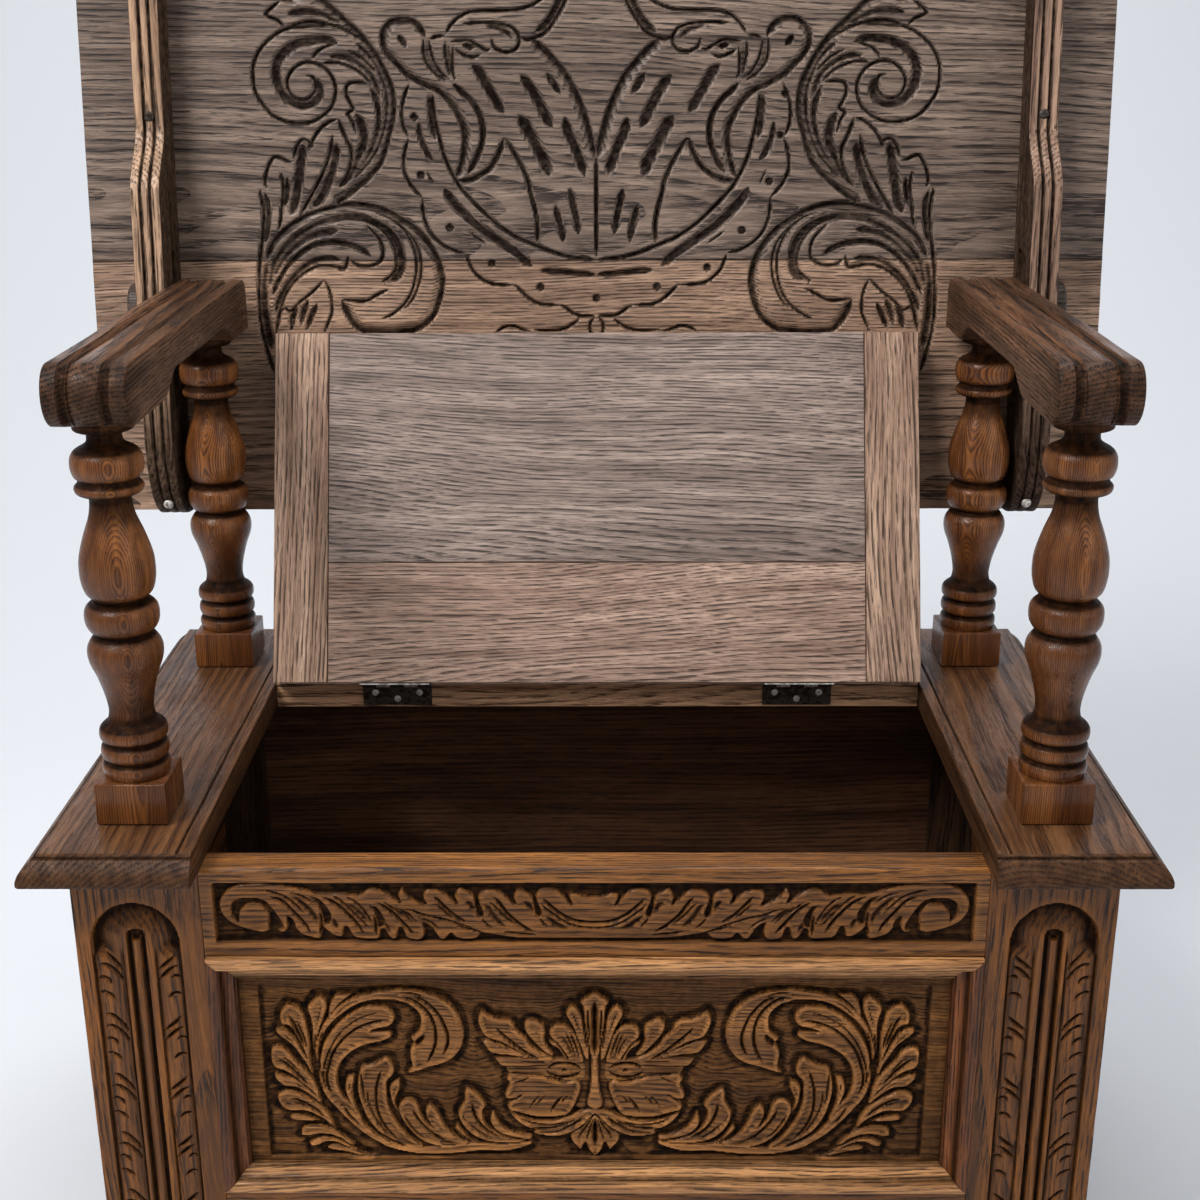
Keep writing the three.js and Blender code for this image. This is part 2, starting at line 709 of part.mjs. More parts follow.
for (const [word, side] of sides) {
  addPiece(seat, `front_post_${word}`, post(side * postHalfSpacing, frontPostLine), turnedOak);
  addPiece(seat, `rear_post_${word}`, post(side * postHalfSpacing, rearPostLine), turnedOak);
}

// Arms: a rounded front end, a thinner middle, two grooves along the top and down the front
const armRear = pegLine + armRearOverhang;
const armMiddleUnder = armTop - armMiddleThickness;
const armNoseHalf = armEndThickness / 2;
function armNose(offset) {
  return arc(0, 0, 1, 90, 270, halfRoundSteps).map(([along, up]) => [
    armFront + along * (armBulge + offset), armTop - armNoseHalf + up * (armNoseHalf + offset),
  ]);
}
const armSide = [
  ...arc(armRear - armRearRound, armTop - armRearRound, armRearRound, 0, 90, cornerSteps),
  ...armNose(0),
  ...ogee(
    [armFront + armFrontBlock, armUnder], [armFront + armFrontBlock + armOgee, armMiddleUnder], ogeeSteps,
  ),
  ...ogee([armRear - armRearBlock - armOgee, armMiddleUnder], [armRear - armRearBlock, armUnder], ogeeSteps),
  [armRear, armUnder],
];
const armGrooveSide = [
  [armRear + cutOverrun, armTop - armGrooveDepth],
  [armRear + cutOverrun, armTop + cutOverrun],
  ...armNose(cutOverrun),
  ...armNose(-armGrooveDepth).reverse(),
];
for (const [word, side] of sides) {
  const middle = side * postHalfSpacing;
  let arm = prism(armSide, 'x', middle - armWidth / 2, middle + armWidth / 2);
  for (const edge of [-1, 1]) {
    const groove = middle + edge * armGrooveOffset;
    arm = arm.subtract(prism(armGrooveSide, 'x', groove - armGrooveWidth / 2, groove + armGrooveWidth / 2));
  }
  for (const line of [frontPostLine, rearPostLine]) {
    arm = arm.subtract(bar(
      postDowelRadius + jointGap, armUnder - cutOverrun, armUnder + postDowelLength + jointGap,
      dowelSides, 'z', middle, line, 0,
    ));
  }
  const boreStart = side * (postHalfSpacing + armWidth / 2 - pegInArm);
  const boreEnd = side * (postHalfSpacing + armWidth / 2 + cutOverrun);
  arm = arm.subtract(bar(
    pegRadius + pegInArmGap, Math.min(boreStart, boreEnd), Math.max(boreStart, boreEnd),
    dowelSides, 'x', 0, pegLine, pegHeight,
  ));
  addPiece(seat, `arm_${word}`, arm, darkOak);
}

// Table top, drawn upright about the peg axis and then leaned back: three planks edge to edge
top.position.set(0, pegLine, pegHeight);
top.rotation.x = -topLean;
const topFoot = -pegAboveTopFoot;
const topHead = topFoot + topHeight;
const bearerInner = postHalfSpacing + armWidth / 2 + slideGap;
const bearerOuter = bearerInner + bearerThickness;
const bearerBack = faceFromPeg - jointGap;
const bearerFront = faceFromPeg - bearerDeep;
const bearerThin = faceFromPeg - bearerShallow;
const bearerScrews = [
  ['foot', topFoot + bearerScrewFoot, bearerFront + bearerScrewFootSeat],
  ['middle', topFoot + bearerScrewMiddle, bearerThin],
  ['head', topHead - bearerScrewHeadDrop, bearerThin],
];
function bearerScrewHole(x, y, z) {
  const head = bearerScrewHeadRadius + jointGap;
  const shank = bearerScrewShankRadius + jointGap;
  return turned([
    [0, -bearerDeep], [head, -bearerDeep], [head, 0], [shank, 0],
    [shank, bearerScrewLength + jointGap], [0, bearerScrewLength + jointGap],
  ], screwSides, 'y', x, y, z);
}
function bearerScrew(x, y, z) {
  const seatAt = -jointGap;
  return turned([
    [0, seatAt - bearerScrewHeadHeight],
    [bearerScrewHeadRadius * bearerScrewDomeShare, seatAt - bearerScrewHeadHeight * bearerScrewDomeShare],
    [bearerScrewHeadRadius, seatAt], [bearerScrewShankRadius, seatAt],
    [bearerScrewShankRadius, bearerScrewLength], [0, bearerScrewLength],
  ], screwSides, 'y', x, y, z);
}
// The middle plank takes two thirds of what the lower one leaves
const lowerSeam = topFoot + topPlankHeight;
const plankSeams = [topFoot, lowerSeam, lowerSeam + (topHead - lowerSeam) * middlePlankShare, topHead];
['lower', 'middle', 'upper'].forEach((word, index) => {
  const under = index === 0 ? topFoot : plankSeams[index] + jointGap;
  let plank = box(
    -topHalfWidth, topHalfWidth, faceFromPeg, faceFromPeg + topThickness, under, plankSeams[index + 1],
  );
  for (const [, side] of sides) {
    for (const [, up, front] of bearerScrews) {
      plank = plank.subtract(bearerScrewHole((side * (bearerInner + bearerOuter)) / 2, front, up));
    }
  }
  addPiece(top, `top_plank_${word}`, plank, topOak);
});

// Bearers: deep where the slot is, rounded off at the foot and thinner above
const bearerSide = [
  [bearerBack, topFoot],
  [bearerBack, topHead - bearerTopMargin],
  [bearerThin, topHead - bearerTopMargin],
  ...ogee([topFoot + bearerOgeeTop, bearerThin], [topFoot + bearerDeepTop, bearerFront], ogeeSteps)
    .map(([up, across]) => [across, up]),
  ...arc(0, 0, 1, 0, 90, ogeeSteps).map(([along, across]) => [
    bearerFront + (1 - along) * bearerFootDepth, topFoot + (1 - across) * bearerFootRise,
  ]),
];
const slotRise = [slotFoot - pegAboveTopFoot, slotHead - pegAboveTopFoot];
const slotSide = [
  ...arc(0, slotRise[0], slotWidth / 2, 180, 360, slotEndSteps),
  ...arc(0, slotRise[1], slotWidth / 2, 0, 180, slotEndSteps),
];
for (const [word, side] of sides) {
  const [from, to] = [side * bearerInner, side * bearerOuter].sort((a, b) => a - b);
  let bearer = prism(bearerSide, 'x', from, to);
  bearer = bearer.subtract(prism(slotSide, 'x', from - cutOverrun, to + cutOverrun));
  bearerScrews.forEach(([place, up, front]) => {
    const middle = (from + to) / 2;
    bearer = bearer.subtract(bearerScrewHole(middle, front, up));
    addPiece(top, `bearer_screw_${place}_${word}`, bearerScrew(middle, front, up), darkSteel);
  });
  addPiece(top, `bearer_${word}`, bearer, topOak);
}

// Pivot pegs: a round shaft through the slot into the arm, with a flat knob outside the bearer
for (const [word, side] of sides) {
  const shaftFoot = bearerInner - slideGap - pegInArm + jointGap;
  const knobFace = bearerOuter + slideGap / 2;
  const profile = [
    [0, shaftFoot], [pegRadius, shaftFoot], [pegRadius, knobFace], [knobRadius - knobRound, knobFace],
    [knobRadius, knobFace + knobRound], [knobRadius, knobFace + knobThickness - knobRound],
    [knobRadius - knobRound, knobFace + knobThickness], [0, knobFace + knobThickness],
  ];
  const handed = side > 0 ? profile : profile.map(([r, along]) => [r, -along]).reverse();
  addPiece(seat, `pivot_peg_${word}`, turned(handed, dowelSides, 'x', 0, pegLine, pegHeight), darkOak);
}

// The origin goes under the middle of the whole bench
bench.updateMatrixWorld(true);
const bounds = new THREE.Box3().setFromObject(bench, true);
const middle = bounds.getCenter(new THREE.Vector3());
bench.position.set(-middle.x, -middle.y, -bounds.min.z);

export default bench;
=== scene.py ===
"""A carved oak settle bench, the kind called a monk's bench, dressed over its CAD frame.

Lengths in this file are millimetres in the frame's own axes: X across, Y to the back, Z up.
"""

import math

import bpy
import numpy as np
from mathutils import Matrix, Vector
from mathutils.geometry import tessellate_polygon


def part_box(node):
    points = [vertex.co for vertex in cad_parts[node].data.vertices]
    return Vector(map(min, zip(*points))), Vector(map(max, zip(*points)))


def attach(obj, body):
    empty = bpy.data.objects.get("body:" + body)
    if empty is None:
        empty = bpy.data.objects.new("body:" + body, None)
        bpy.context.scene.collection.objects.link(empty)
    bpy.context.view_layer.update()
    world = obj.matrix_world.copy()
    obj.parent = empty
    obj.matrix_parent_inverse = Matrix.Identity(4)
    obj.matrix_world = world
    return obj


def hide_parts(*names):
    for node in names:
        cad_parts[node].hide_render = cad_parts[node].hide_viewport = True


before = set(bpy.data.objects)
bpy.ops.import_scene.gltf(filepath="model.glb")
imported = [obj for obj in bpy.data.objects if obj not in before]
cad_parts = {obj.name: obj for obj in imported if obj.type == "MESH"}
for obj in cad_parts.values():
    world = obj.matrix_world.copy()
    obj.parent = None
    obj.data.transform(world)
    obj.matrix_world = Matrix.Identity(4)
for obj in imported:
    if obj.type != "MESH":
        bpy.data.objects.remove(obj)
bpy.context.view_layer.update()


# The camera stands where the photographer's did, a little right of the middle and looking down.
# Its place in metres, its lens and its turns in degrees come from about 100 points of the photograph.
def add_object(name, data):
    """A new object in the scene."""
    made = bpy.data.objects.new(name, data)
    bpy.context.collection.objects.link(made)
    return made


camera_place = (0.01348, -1.34914, 1.00962)
pan, dip, roll = 0.417, 19.116, -0.195
camera_data = bpy.data.cameras.new("camera")
camera_data.sensor_width = 36
camera_data.lens = 50.95
camera = add_object("camera", camera_data)
camera.matrix_world = (
    Matrix.Translation(camera_place)
    @ Matrix.Rotation(math.radians(pan), 4, "Z")
    @ Matrix.Rotation(math.radians(90 - dip), 4, "X")
    @ Matrix.Rotation(math.radians(roll), 4, "Z")
)
bpy.context.scene.camera = camera


# Front stiles: two thick oak boards that run down to the floor as feet. Each is carved by hand with
# an arched pilaster, a reed in a slot between two rounded bands with gouge cuts at even steps.
def linear(code, times=1.0):
    """A hex colour as a screen shows it, turned into linear light and made darker or paler."""
    shares = [int(code[start:start + 2], 16) / 255 for start in (1, 3, 5)]
    light = [s / 12.92 if s <= 0.04045 else ((s + 0.055) / 1.055) ** 2.4 for s in shares]
    return [min(1.0, share * times) for share in light] + [1.0]


def feed(tree, node, inputs):
    """Gives a node its inputs: plain values, outputs of nodes, or nodes for their first outputs."""
    for key, value in inputs.items():
        if isinstance(value, bpy.types.Node):
            value = value.outputs[0]
        if isinstance(value, bpy.types.NodeSocket):
            tree.links.new(value, node.inputs[key])
        else:
            node.inputs[key].default_value = value
    return node


def add_node(tree, kind, inputs=None, **settings):
    """Adds a node with its settings and its inputs."""
    made = tree.nodes.new(kind)
    for name, value in settings.items():
        setattr(made, name, value)
    return feed(tree, made, inputs or {})


def new_material(name):
    """A material, its tree of nodes and its main shader."""
    material = bpy.data.materials.new(name)
    material.use_nodes = True
    return material, material.node_tree, material.node_tree.nodes["Principled BSDF"]


def oak(name, light, dark, heart, grain, ring=2.4, gloss=0.34, figure=1.0, ringed=0.18, stain=0.35,
        cut="#140c08"):
    """Old waxed oak, cut from a log whose heart line passes through a point along the grain.

    Rings round the heart, each so many millimetres wide, give straight grain, cathedral figure or
    eyes by how the piece lies in the log. Each ring starts with a band of open pores, short dark
    dashes along the grain.
    """
    material, tree, shader = new_material(name)
    place = add_node(tree, "ShaderNodeTexCoord").outputs["Object"]
    turn = Vector(grain).to_track_quat("Z", "X").to_euler()
    log = add_node(tree, "ShaderNodeMapping", {
        "Vector": place, "Location": Vector(heart) / 1000, "Rotation": turn,
    }, vector_type="TEXTURE")

    def spread(source, across, along, detail=2.0):
        """Noise with so many patches to the metre across the grain and along it."""
        scaled = add_node(tree, "ShaderNodeMapping", {"Vector": source, "Scale": (across, across, along)})
        return add_node(tree, "ShaderNodeTexNoise", {
            "Vector": scaled, "Scale": 1.0, "Detail": detail, "Roughness": 0.6,
        })

    # The rings wander slowly, as the trunk did, and shiver a little every few centimetres
    grown = log
    for across, along, amount in ((6, 1.6, 0.014), (30, 5, 0.0016)):
        sway = add_node(tree, "ShaderNodeVectorMath", {
            0: spread(log, across, along).outputs["Color"], 1: (0.5, 0.5, 0.5),
        }, operation="SUBTRACT")
        sway = add_node(tree, "ShaderNodeVectorMath", {0: sway, "Scale": amount * 2}, operation="SCALE")
        grown = add_node(tree, "ShaderNodeVectorMath", {0: grown, 1: sway})
    # At scale 1 the wave repeats every tau / 20 of a metre
    rings = add_node(tree, "ShaderNodeTexWave", {
        "Vector": grown, "Scale": math.tau / 20 / (ring / 1000),
    }, wave_type="RINGS", rings_direction="Z", wave_profile="SAW").outputs["Fac"]
    # A range's inputs are 0 the value, 1 and 2 where it starts and ends, 3 and 4 what it gives there
    early = add_node(tree, "ShaderNodeMapRange", {0: rings, 1: 0.3, 2: 0.8})

    # Pores are dark dashes about 1 mm across and 5 to 30 mm long, crowded in the early wood
    pore = 0.0
    for across, along, low, high, crowd in ((620, 27, 0.49, 0.55, 1.0), (1100, 60, 0.5, 0.6, 0.8)):
        dashes = add_node(tree, "ShaderNodeMapRange", {0: spread(grown, across, along), 1: low, 2: high})
        crowded = add_node(tree, "ShaderNodeMapRange", {0: early, 3: 0.35, 4: crowd})
        dashes = add_node(tree, "ShaderNodeMath", {0: dashes, 1: crowded}, operation="MULTIPLY")
        pore = add_node(tree, "ShaderNodeMath", {0: pore, 1: dashes}, operation="MAXIMUM")

    # Darker early wood and streaks, then smoke and polish in clouds a hand wide, then the pores
    streak = add_node(tree, "ShaderNodeMapRange", {
        0: spread(grown, 110, 2.6, 5.0), 1: 0.34, 2: 0.68, 4: 0.75,
    })
    tone = add_node(tree, "ShaderNodeMath", {0: early, 1: ringed, 2: streak}, operation="MULTIPLY_ADD",
                    use_clamp=True)
    stained = add_node(tree, "ShaderNodeMapRange", {0: spread(log, 9, 3, 4.0), 1: 0.38, 2: 0.66, 4: stain})
    pored = add_node(tree, "ShaderNodeMath", {0: pore, 1: 0.88 * figure}, operation="MULTIPLY")
    # The high places are lighter, wear and painted highlight; the cuts are darker, dirt and wax with painted
    # shade
    carved, worn = [
        add_node(tree, "ShaderNodeAttribute", attribute_name=word).outputs["Fac"]
        for word in ("carved", "worn")
    ]
    # Painted highlight with wear: the high places are lightened towards a paler oak
    rubbed = add_node(tree, "ShaderNodeMapRange", {0: worn, 4: 0.6})
    # Dirt and painted shade in the cuts, made patchy by noise
    patchy_share = add_node(tree, "ShaderNodeTexNoise", {"Vector": place, "Scale": 160.0, "Detail": 4.0})
    patchy_share = add_node(tree, "ShaderNodeMapRange", {0: patchy_share, 1: 0.2, 2: 0.8, 3: 0.75, 4: 1.15})
    grime_and_shade = add_node(tree, "ShaderNodeMath", {0: carved, 1: patchy_share}, operation="MULTIPLY", use_clamp=True)
    colour = linear(light)
    for share, over in (
        (tone, linear(dark)), (stained, linear(dark)), (pored, linear(dark, 0.12)),
        (rubbed, linear(light, 1.25)), (grime_and_shade, linear(cut)),
    ):
        colour = add_node(tree, "ShaderNodeMix", {0: share, 6: colour, 7: over}, data_type="RGBA").outputs[2]

    # Polish is uneven, and the darkened cuts (dirt and painted shade) and pores are duller than it
    matt = add_node(tree, "ShaderNodeTexNoise", {"Vector": place, "Scale": 22.0, "Detail": 5.0})
    matt = add_node(tree, "ShaderNodeMapRange", {0: matt, 1: 0.3, 2: 0.7, 3: gloss - 0.12, 4: gloss + 0.04})
    for dull, amount in ((grime_and_shade, 0.22), (pore, 0.2)):
        matt = add_node(tree, "ShaderNodeMath", {0: dull, 1: amount, 2: matt}, operation="MULTIPLY_ADD",
                        use_clamp=True)
    relief = add_node(tree, "ShaderNodeMath", {0: spread(grown, 160, 10), 1: pore}, operation="SUBTRACT")
    feed(tree, shader, {
        "Base Color": colour,
        "Roughness": matt,
        "Specular IOR Level": add_node(tree, "ShaderNodeMapRange", {0: grime_and_shade, 2: 0.8, 3: 0.3, 4: 0.04}),
        "Normal": add_node(tree, "ShaderNodeBump", {"Height": relief, "Strength": 0.6, "Distance": 0.0003}),
    })
    return material


def smooth(mesh):
    """All faces of a mesh shaded smooth."""
    mesh.polygons.foreach_set("use_smooth", [True] * len(mesh.polygons))


def put_in(name, mesh, body, nodes, sharp=38):
    """A mesh as an object that rides on a body in the place of CAD nodes, creased above an angle."""
    smooth(mesh)
    mesh.set_sharp_from_angle(angle=math.radians(sharp))
    made = add_object(name, mesh)
    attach(made, body)
    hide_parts(*nodes)


def piece(name, points, faces, material, body, nodes, slot, **fields):
    """A closed mesh from points in millimetres, with fields that hold a value for each point."""
    mesh = bpy.data.meshes.new(name)
    mesh.from_pydata((np.asarray(points, dtype=float) / 1000).tolist(), [], faces)
    mesh.materials.append(material)
    for key, field in fields.items():
        numbers = np.zeros(len(points), dtype=np.float32)
        numbers[:field.size] = field.ravel()
        mesh.attributes.new(key, "FLOAT", "POINT").data.foreach_set("value", numbers)
    put_in(name, mesh, body, nodes)


def ripple(*coordinates, size=60.0, seed=0):
    """A slow unevenness between about -1 and 1, the same each run, from sines in several directions."""
    draw = np.random.default_rng(seed)
    total = 0
    for _ in range(5):
        waves = draw.normal(size=len(coordinates)) * math.tau / size * 0.6
        total = total + np.sin(sum(w * c for w, c in zip(waves, coordinates)) + draw.uniform(0, math.tau))
    return total / 2.5


def hand_planed(columns, rows, low, swing, size, seed):
    """How far a board's face lies below its CAD face at each crossing, nowhere quite flat."""
    return low + swing * ripple(*np.meshgrid(columns, rows), size=size, seed=seed)


def lines(start, end, step):
    """Even grid lines between two values, no further apart than a step."""
    return np.linspace(start, end, max(2, math.ceil(abs(end - start) / step - 1e-6) + 1))


def rounding(radius, thickness, foot=None, head=None):
    """The edge rings of a plain board: rounded over, straight down, rounded under.

    The foot and head may be less worn than the sides, as where a board lies against its neighbour.
    """
    sizes = [radius, radius, radius if foot is None else foot, radius if head is None else head]
    angles = np.linspace(0, math.pi / 2, 4)[1:]
    over = [(radius * (1 - math.cos(a)), *[size * math.sin(a) for size in sizes]) for a in angles]
    under = [
        (thickness - radius * (1 - math.sin(a)), *[size * math.cos(a) for size in sizes]) for a in angles
    ]
    return over + [(thickness - radius, *sizes)] + under


def joined_rings(near, far, turned_over=False):
    """Faces between two rings of corners, which face the other way if they are turned over."""
    corners = [near, far, np.roll(far, -1), np.roll(near, -1)]
    if turned_over:
        corners[1:] = corners[:0:-1]
    return np.stack(corners, axis=-1).tolist()


def slab(across, along, depth, rings, wear=0.35, seed=1):
    """A board: its face is a grid with a depth at each crossing, and rings close it round the back.

    A ring gives how far down it lies and how far out it stands at the left, right, foot and head.
    Returns points with x across, y along and z out of the face, the grid's first, and the faces.
    """
    columns, rows = len(across), len(along)
    grid = np.arange(rows * columns).reshape(rows, columns)
    x, y = np.meshgrid(across, along)
    depth = np.broadcast_to(depth, x.shape)
    points = [np.column_stack([x.ravel(), y.ravel(), -depth.ravel()])]
    quads = np.stack([grid[:-1, :-1], grid[:-1, 1:], grid[1:, 1:], grid[1:, :-1]], axis=-1)
    faces = quads.reshape(-1, 4).tolist()
    border = np.concatenate([grid[0, :-1], grid[:-1, -1], grid[-1, :0:-1], grid[:0:-1, 0]])
    start = points[0][border]
    left, right = start[:, 0] == across[0], start[:, 0] == across[-1]
    foot, head = start[:, 1] == along[0], start[:, 1] == along[-1]
    last = border
    count = rows * columns
    rub = wear * (0.6 + 0.4 * ripple(start[:, 0], start[:, 1], size=45, seed=seed))
    for index, (down, out_left, out_right, out_foot, out_head) in enumerate(rings):
        ring = start.copy()
        shy = rub * (0.7 if index < len(rings) / 2 - 1 else 0.25)
        for axis, edge, out in (
            (0, right, out_right), (0, left, -out_left), (1, head, out_head), (1, foot, -out_foot),
        ):
            ring[:, axis] += edge * (out - math.copysign(1, out) * shy * (abs(out) >= 1))
        ring[:, 2] = np.minimum(start[:, 2], -down)
        points.append(ring)
        this = count + np.arange(len(border))
        count += len(border)
        faces += joined_rings(last, this)
        last = this
    faces.append(last[::-1].tolist())
    return np.concatenate(points), faces


def set_in(points, right, up, origin):
    """Slab points turned into the frame: right and up are directions, origin the place of 0, 0, 0."""
    right, up = np.array(right, dtype=float), np.array(up, dtype=float)
    return np.array(origin) + points @ np.stack([right, up, np.cross(right, up)])


def front_board(node, word, across, rows, depth, rings, face, material, fields, wear=0.35, seed=1):
    """A board of the chest's front, in place of a CAD node, its face turned to the front."""
    points, faces = slab(across, rows, depth, rings, wear, seed)
    points = set_in(points, (1, 0, 0), (0, 0, 1), (0, face, 0))
    piece(f"{node}_{word}", points, faces, material, "seat_frame", [node], "carved_oak", **fields)


def smoothstep(value, start, end):
    """0 before start, 1 after end, and an even turn between."""
    share = np.clip((value - start) / (end - start), 0, 1)
    return share * share * (3 - 2 * share)


def smooth_path(points, step=1.5):
    """A smooth line through given points, cut into even steps."""
    points = np.reshape(points, (-1, 2)).astype(float)
    ends = np.vstack([2 * points[0] - points[1], points, 2 * points[-1] - points[-2]])
    path = [points[:1]]
    for a, b, c, d in zip(ends, ends[1:], ends[2:], ends[3:]):
        share = lines(0, 1, step / max(math.dist(b, c), 1e-6))[1:, None]
        path.append(0.5 * (2 * b + (c - a) * share + (2 * a - 5 * b + 4 * c - d) * share ** 2
                           + (3 * b - a - 3 * c + d) * share ** 3))
    return np.vstack(path)


def nearest(columns, rows, path, reach):
    """Each crossing's distance to a path within reach, its side (1 left, -1 right), the way passed."""
    best = np.full((len(rows), len(columns)), np.inf)
    side, passed = np.zeros_like(best), np.zeros_like(best)
    done = 0.0
    for start, end in zip(path, path[1:]):
        run = end - start
        length = math.hypot(*run)
        limits = [np.searchsorted(grid, (min(a, b) - reach, max(a, b) + reach))
                  for grid, a, b in ((rows, start[1], end[1]), (columns, start[0], end[0]))]
        window = tuple(slice(*pair) for pair in limits)
        x = columns[None, window[1]] - start[0]
        y = rows[window[0], None] - start[1]
        share = np.clip((x * run[0] + y * run[1]) / length ** 2, 0, 1)
        off_x, off_y = x - share * run[0], y - share * run[1]
        away = np.hypot(off_x, off_y)
        closer = away < best[window]
        best[window] = np.where(closer, away, best[window])
        side[window] = np.where(closer, np.sign(run[0] * off_y - run[1] * off_x), side[window])
        passed[window] = np.where(closer, done + share * length, passed[window])
        done += length
    return best, side, passed, done


def carve(depth, columns, rows, cuts):
    """Cuts strokes of a V tool or a gouge (U) into a depth field, running out at their ends.

    A cut gives its section, how wide it is to the left and right of its path, its depth and paths.
    """
    for section, left, right, deep, paths in cuts:
        for points in paths:
            path = smooth_path(points)
            away, side, passed, length = nearest(columns, rows, path, max(left, right))
            end = np.clip(np.minimum(passed, length - passed) / min(8, length / 3), 0.06, 1) ** 0.55
            share = away / (np.where(side > 0, left, right) * end)
            shape = 1 - share if section == "V" else 1 - share ** 2
            depth = np.where(share < 1, np.maximum(depth, deep * end * shape), depth)
    return depth


def blurred(values, radius):
    """The mean over a square of crossings."""
    for axis in (0, 1):
        pad = [(radius + 1, radius) if k == axis else (0, 0) for k in (0, 1)]
        total = np.cumsum(np.pad(values, pad, mode="edge"), axis=axis)
        size = values.shape[axis]
        far = np.take(total, range(2 * radius + 1, 2 * radius + 1 + size), axis=axis)
        values = (far - np.take(total, range(size), axis=axis)) / (2 * radius + 1)
    return values


def tones(depth, full, base, sharp):
    """Where the wood is darker in deep and narrow places, dirt and painted shade, and paler where it stands
    high, wear and painted highlight.
    """
    near, far = depth - blurred(depth, 2), depth - blurred(depth, 6)
    narrow = 1.4 * np.maximum(near, 0) + 0.5 * np.maximum(far, 0)
    return {
        "carved": np.clip(base * depth / full + sharp * narrow, 0, 0.96),
        "worn": 0.5 * np.clip(-0.45 * far - 0.1, 0, 1),
    }


def box(node):
    """The low and the high corner of a CAD piece."""
    return [np.array(corner) * 1000 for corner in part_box(node)]


sides = {"left": -1, "right": 1}
chest_front = box("front_stile_right")[0][1]
edge_round = 1.6
stile_inner, stile_outer, stile_top, stile_thickness = 293, 390, 411.7, 32
pilaster_middle, pilaster_foot = 344.5, 75
arch_radius, arch_springing = 33.0, 350.0
slot_head = 354
bands_deep, ridge_deep, slot_deep = 2.4, 0.3, 4.2


def pilaster(t, z):
    """How deep the pilaster is cut, t from its middle towards the bench's middle, at height z."""
    reach = np.where(z < arch_springing, np.abs(t), np.hypot(t, z - arch_springing))
    inside = (reach < arch_radius) & (z > pilaster_foot)
    bands = [
        (-arch_radius, -10.5, bands_deep, True), (-10.5, -6.5, ridge_deep, True),
        (-6.5, -2.9, slot_deep, False), (-2.9, 3.4, 2.0, True), (3.4, 7.5, slot_deep, False),
        (7.5, 13.0, ridge_deep, True), (13.0, arch_radius, bands_deep, True),
    ]
    section = np.zeros_like(t)
    for start, end, amount, domed in bands:
        share = np.clip(np.abs(2 * (t - start) / (end - start) - 1), 0, 1)
        shape = share ** 2 if domed else 1 - share ** 4
        section = np.where((t >= start) & (t < end), amount * shape, section)
    # The slot ends in a half circle, and the reed stops short of it
    slot_end = np.hypot(t - 0.5, np.maximum(z - slot_head, 0)) < 7.2
    in_slot = (t > -6.5) & (t < 7.5)
    section = np.where(in_slot & (z > slot_head), np.where(slot_end, slot_deep, 0.4), section)
    section = np.where((t > -2.5) & (t < 3.0) & (z > slot_head - 2) & slot_end, slot_deep, section)
    # Under the crown the ground is scooped out, deepest beside the arch
    rim = arch_radius - reach
    scoop = 6.5 * np.clip(rim / 1.8, 0, 1) * (1 - smoothstep(rim, 3, 25))
    high = smoothstep(z, arch_springing - 16, arch_springing)
    cut = section * (1 - 0.8 * high * (~(in_slot & (z < slot_head + 7)))) + scoop * high
    edge = (1.3 + 1.6 * high) * np.exp(-((rim - 0.9) / 1.0) ** 2)
    return np.where(inside, np.maximum(cut, edge) * smoothstep(z, pilaster_foot, pilaster_foot + 5), 0.0)


# Gouge cuts across the two bands, t from the pilaster's middle, repeated down it at even steps
pilaster_cuts = [
    ("V", 1.9, 1.9, 3.6, [
        (-30, 341, -24, 341, -18, 335, -14, 329, -11, 322),
        (-32, 330, -25, 331, -19, 327, -14, 320, -11, 312),
        (31, 341, 24, 334, 17, 328, 13, 324), (32, 330, 26, 328, 19, 322, 13, 315),
    ]),
    ("V", 1.8, 1.8, 3.4, [
        (-32, 318, -28, 320, -23, 318, -21, 314), (-33, 305, -28, 307, -22, 304, -19, 300),
        (24, 318, 28, 321, 33, 318), (20, 301, 24, 305, 28, 306, 33, 303),
    ]),
]
crown_cut = ("V", 1.8, 1.8, 3.4, [(-33, 355, -28, 358, -22, 356, -19, 352)])
cut_pitch = 53.8
stile_columns = lines(stile_inner + edge_round, stile_outer - edge_round, 1.25)
stile_rows = np.concatenate([lines(edge_round, 70, 12), lines(72, stile_top - edge_round, 1.25)])
t_grid = pilaster_middle - stile_columns[::-1]
pilaster_depth = carve(pilaster(*np.meshgrid(t_grid, stile_rows)), t_grid, stile_rows, [crown_cut])
for repeat in range(5):
    pilaster_depth = carve(pilaster_depth, t_grid, stile_rows + cut_pitch * repeat, pilaster_cuts)
for word, side in sides.items():
    across = -stile_columns[::-1] if side < 0 else stile_columns
    depth = pilaster_depth if side < 0 else pilaster_depth[:, ::-1]
    depth = depth + hand_planed(across, stile_rows, 0.2, 0.18, 70, 3 + side)
    stile_oak = oak(
        f"stile oak {word}", "#985a1c", "#351d0a", (side * 262, chest_front + 170, 0), (0.02 * side, 0.01, 1),
        ring=2.6,
    )
    # Its fields darken the cuts with dirt and painted shade and lighten the high places with wear and painted
    # highlight
    front_board(
        f"front_stile_{word}", "carved", across, stile_rows, depth, rounding(edge_round, stile_thickness),
        chest_front, stile_oak, tones(depth, 5.0, 0.35, 0.45), seed=5 + side,
    )


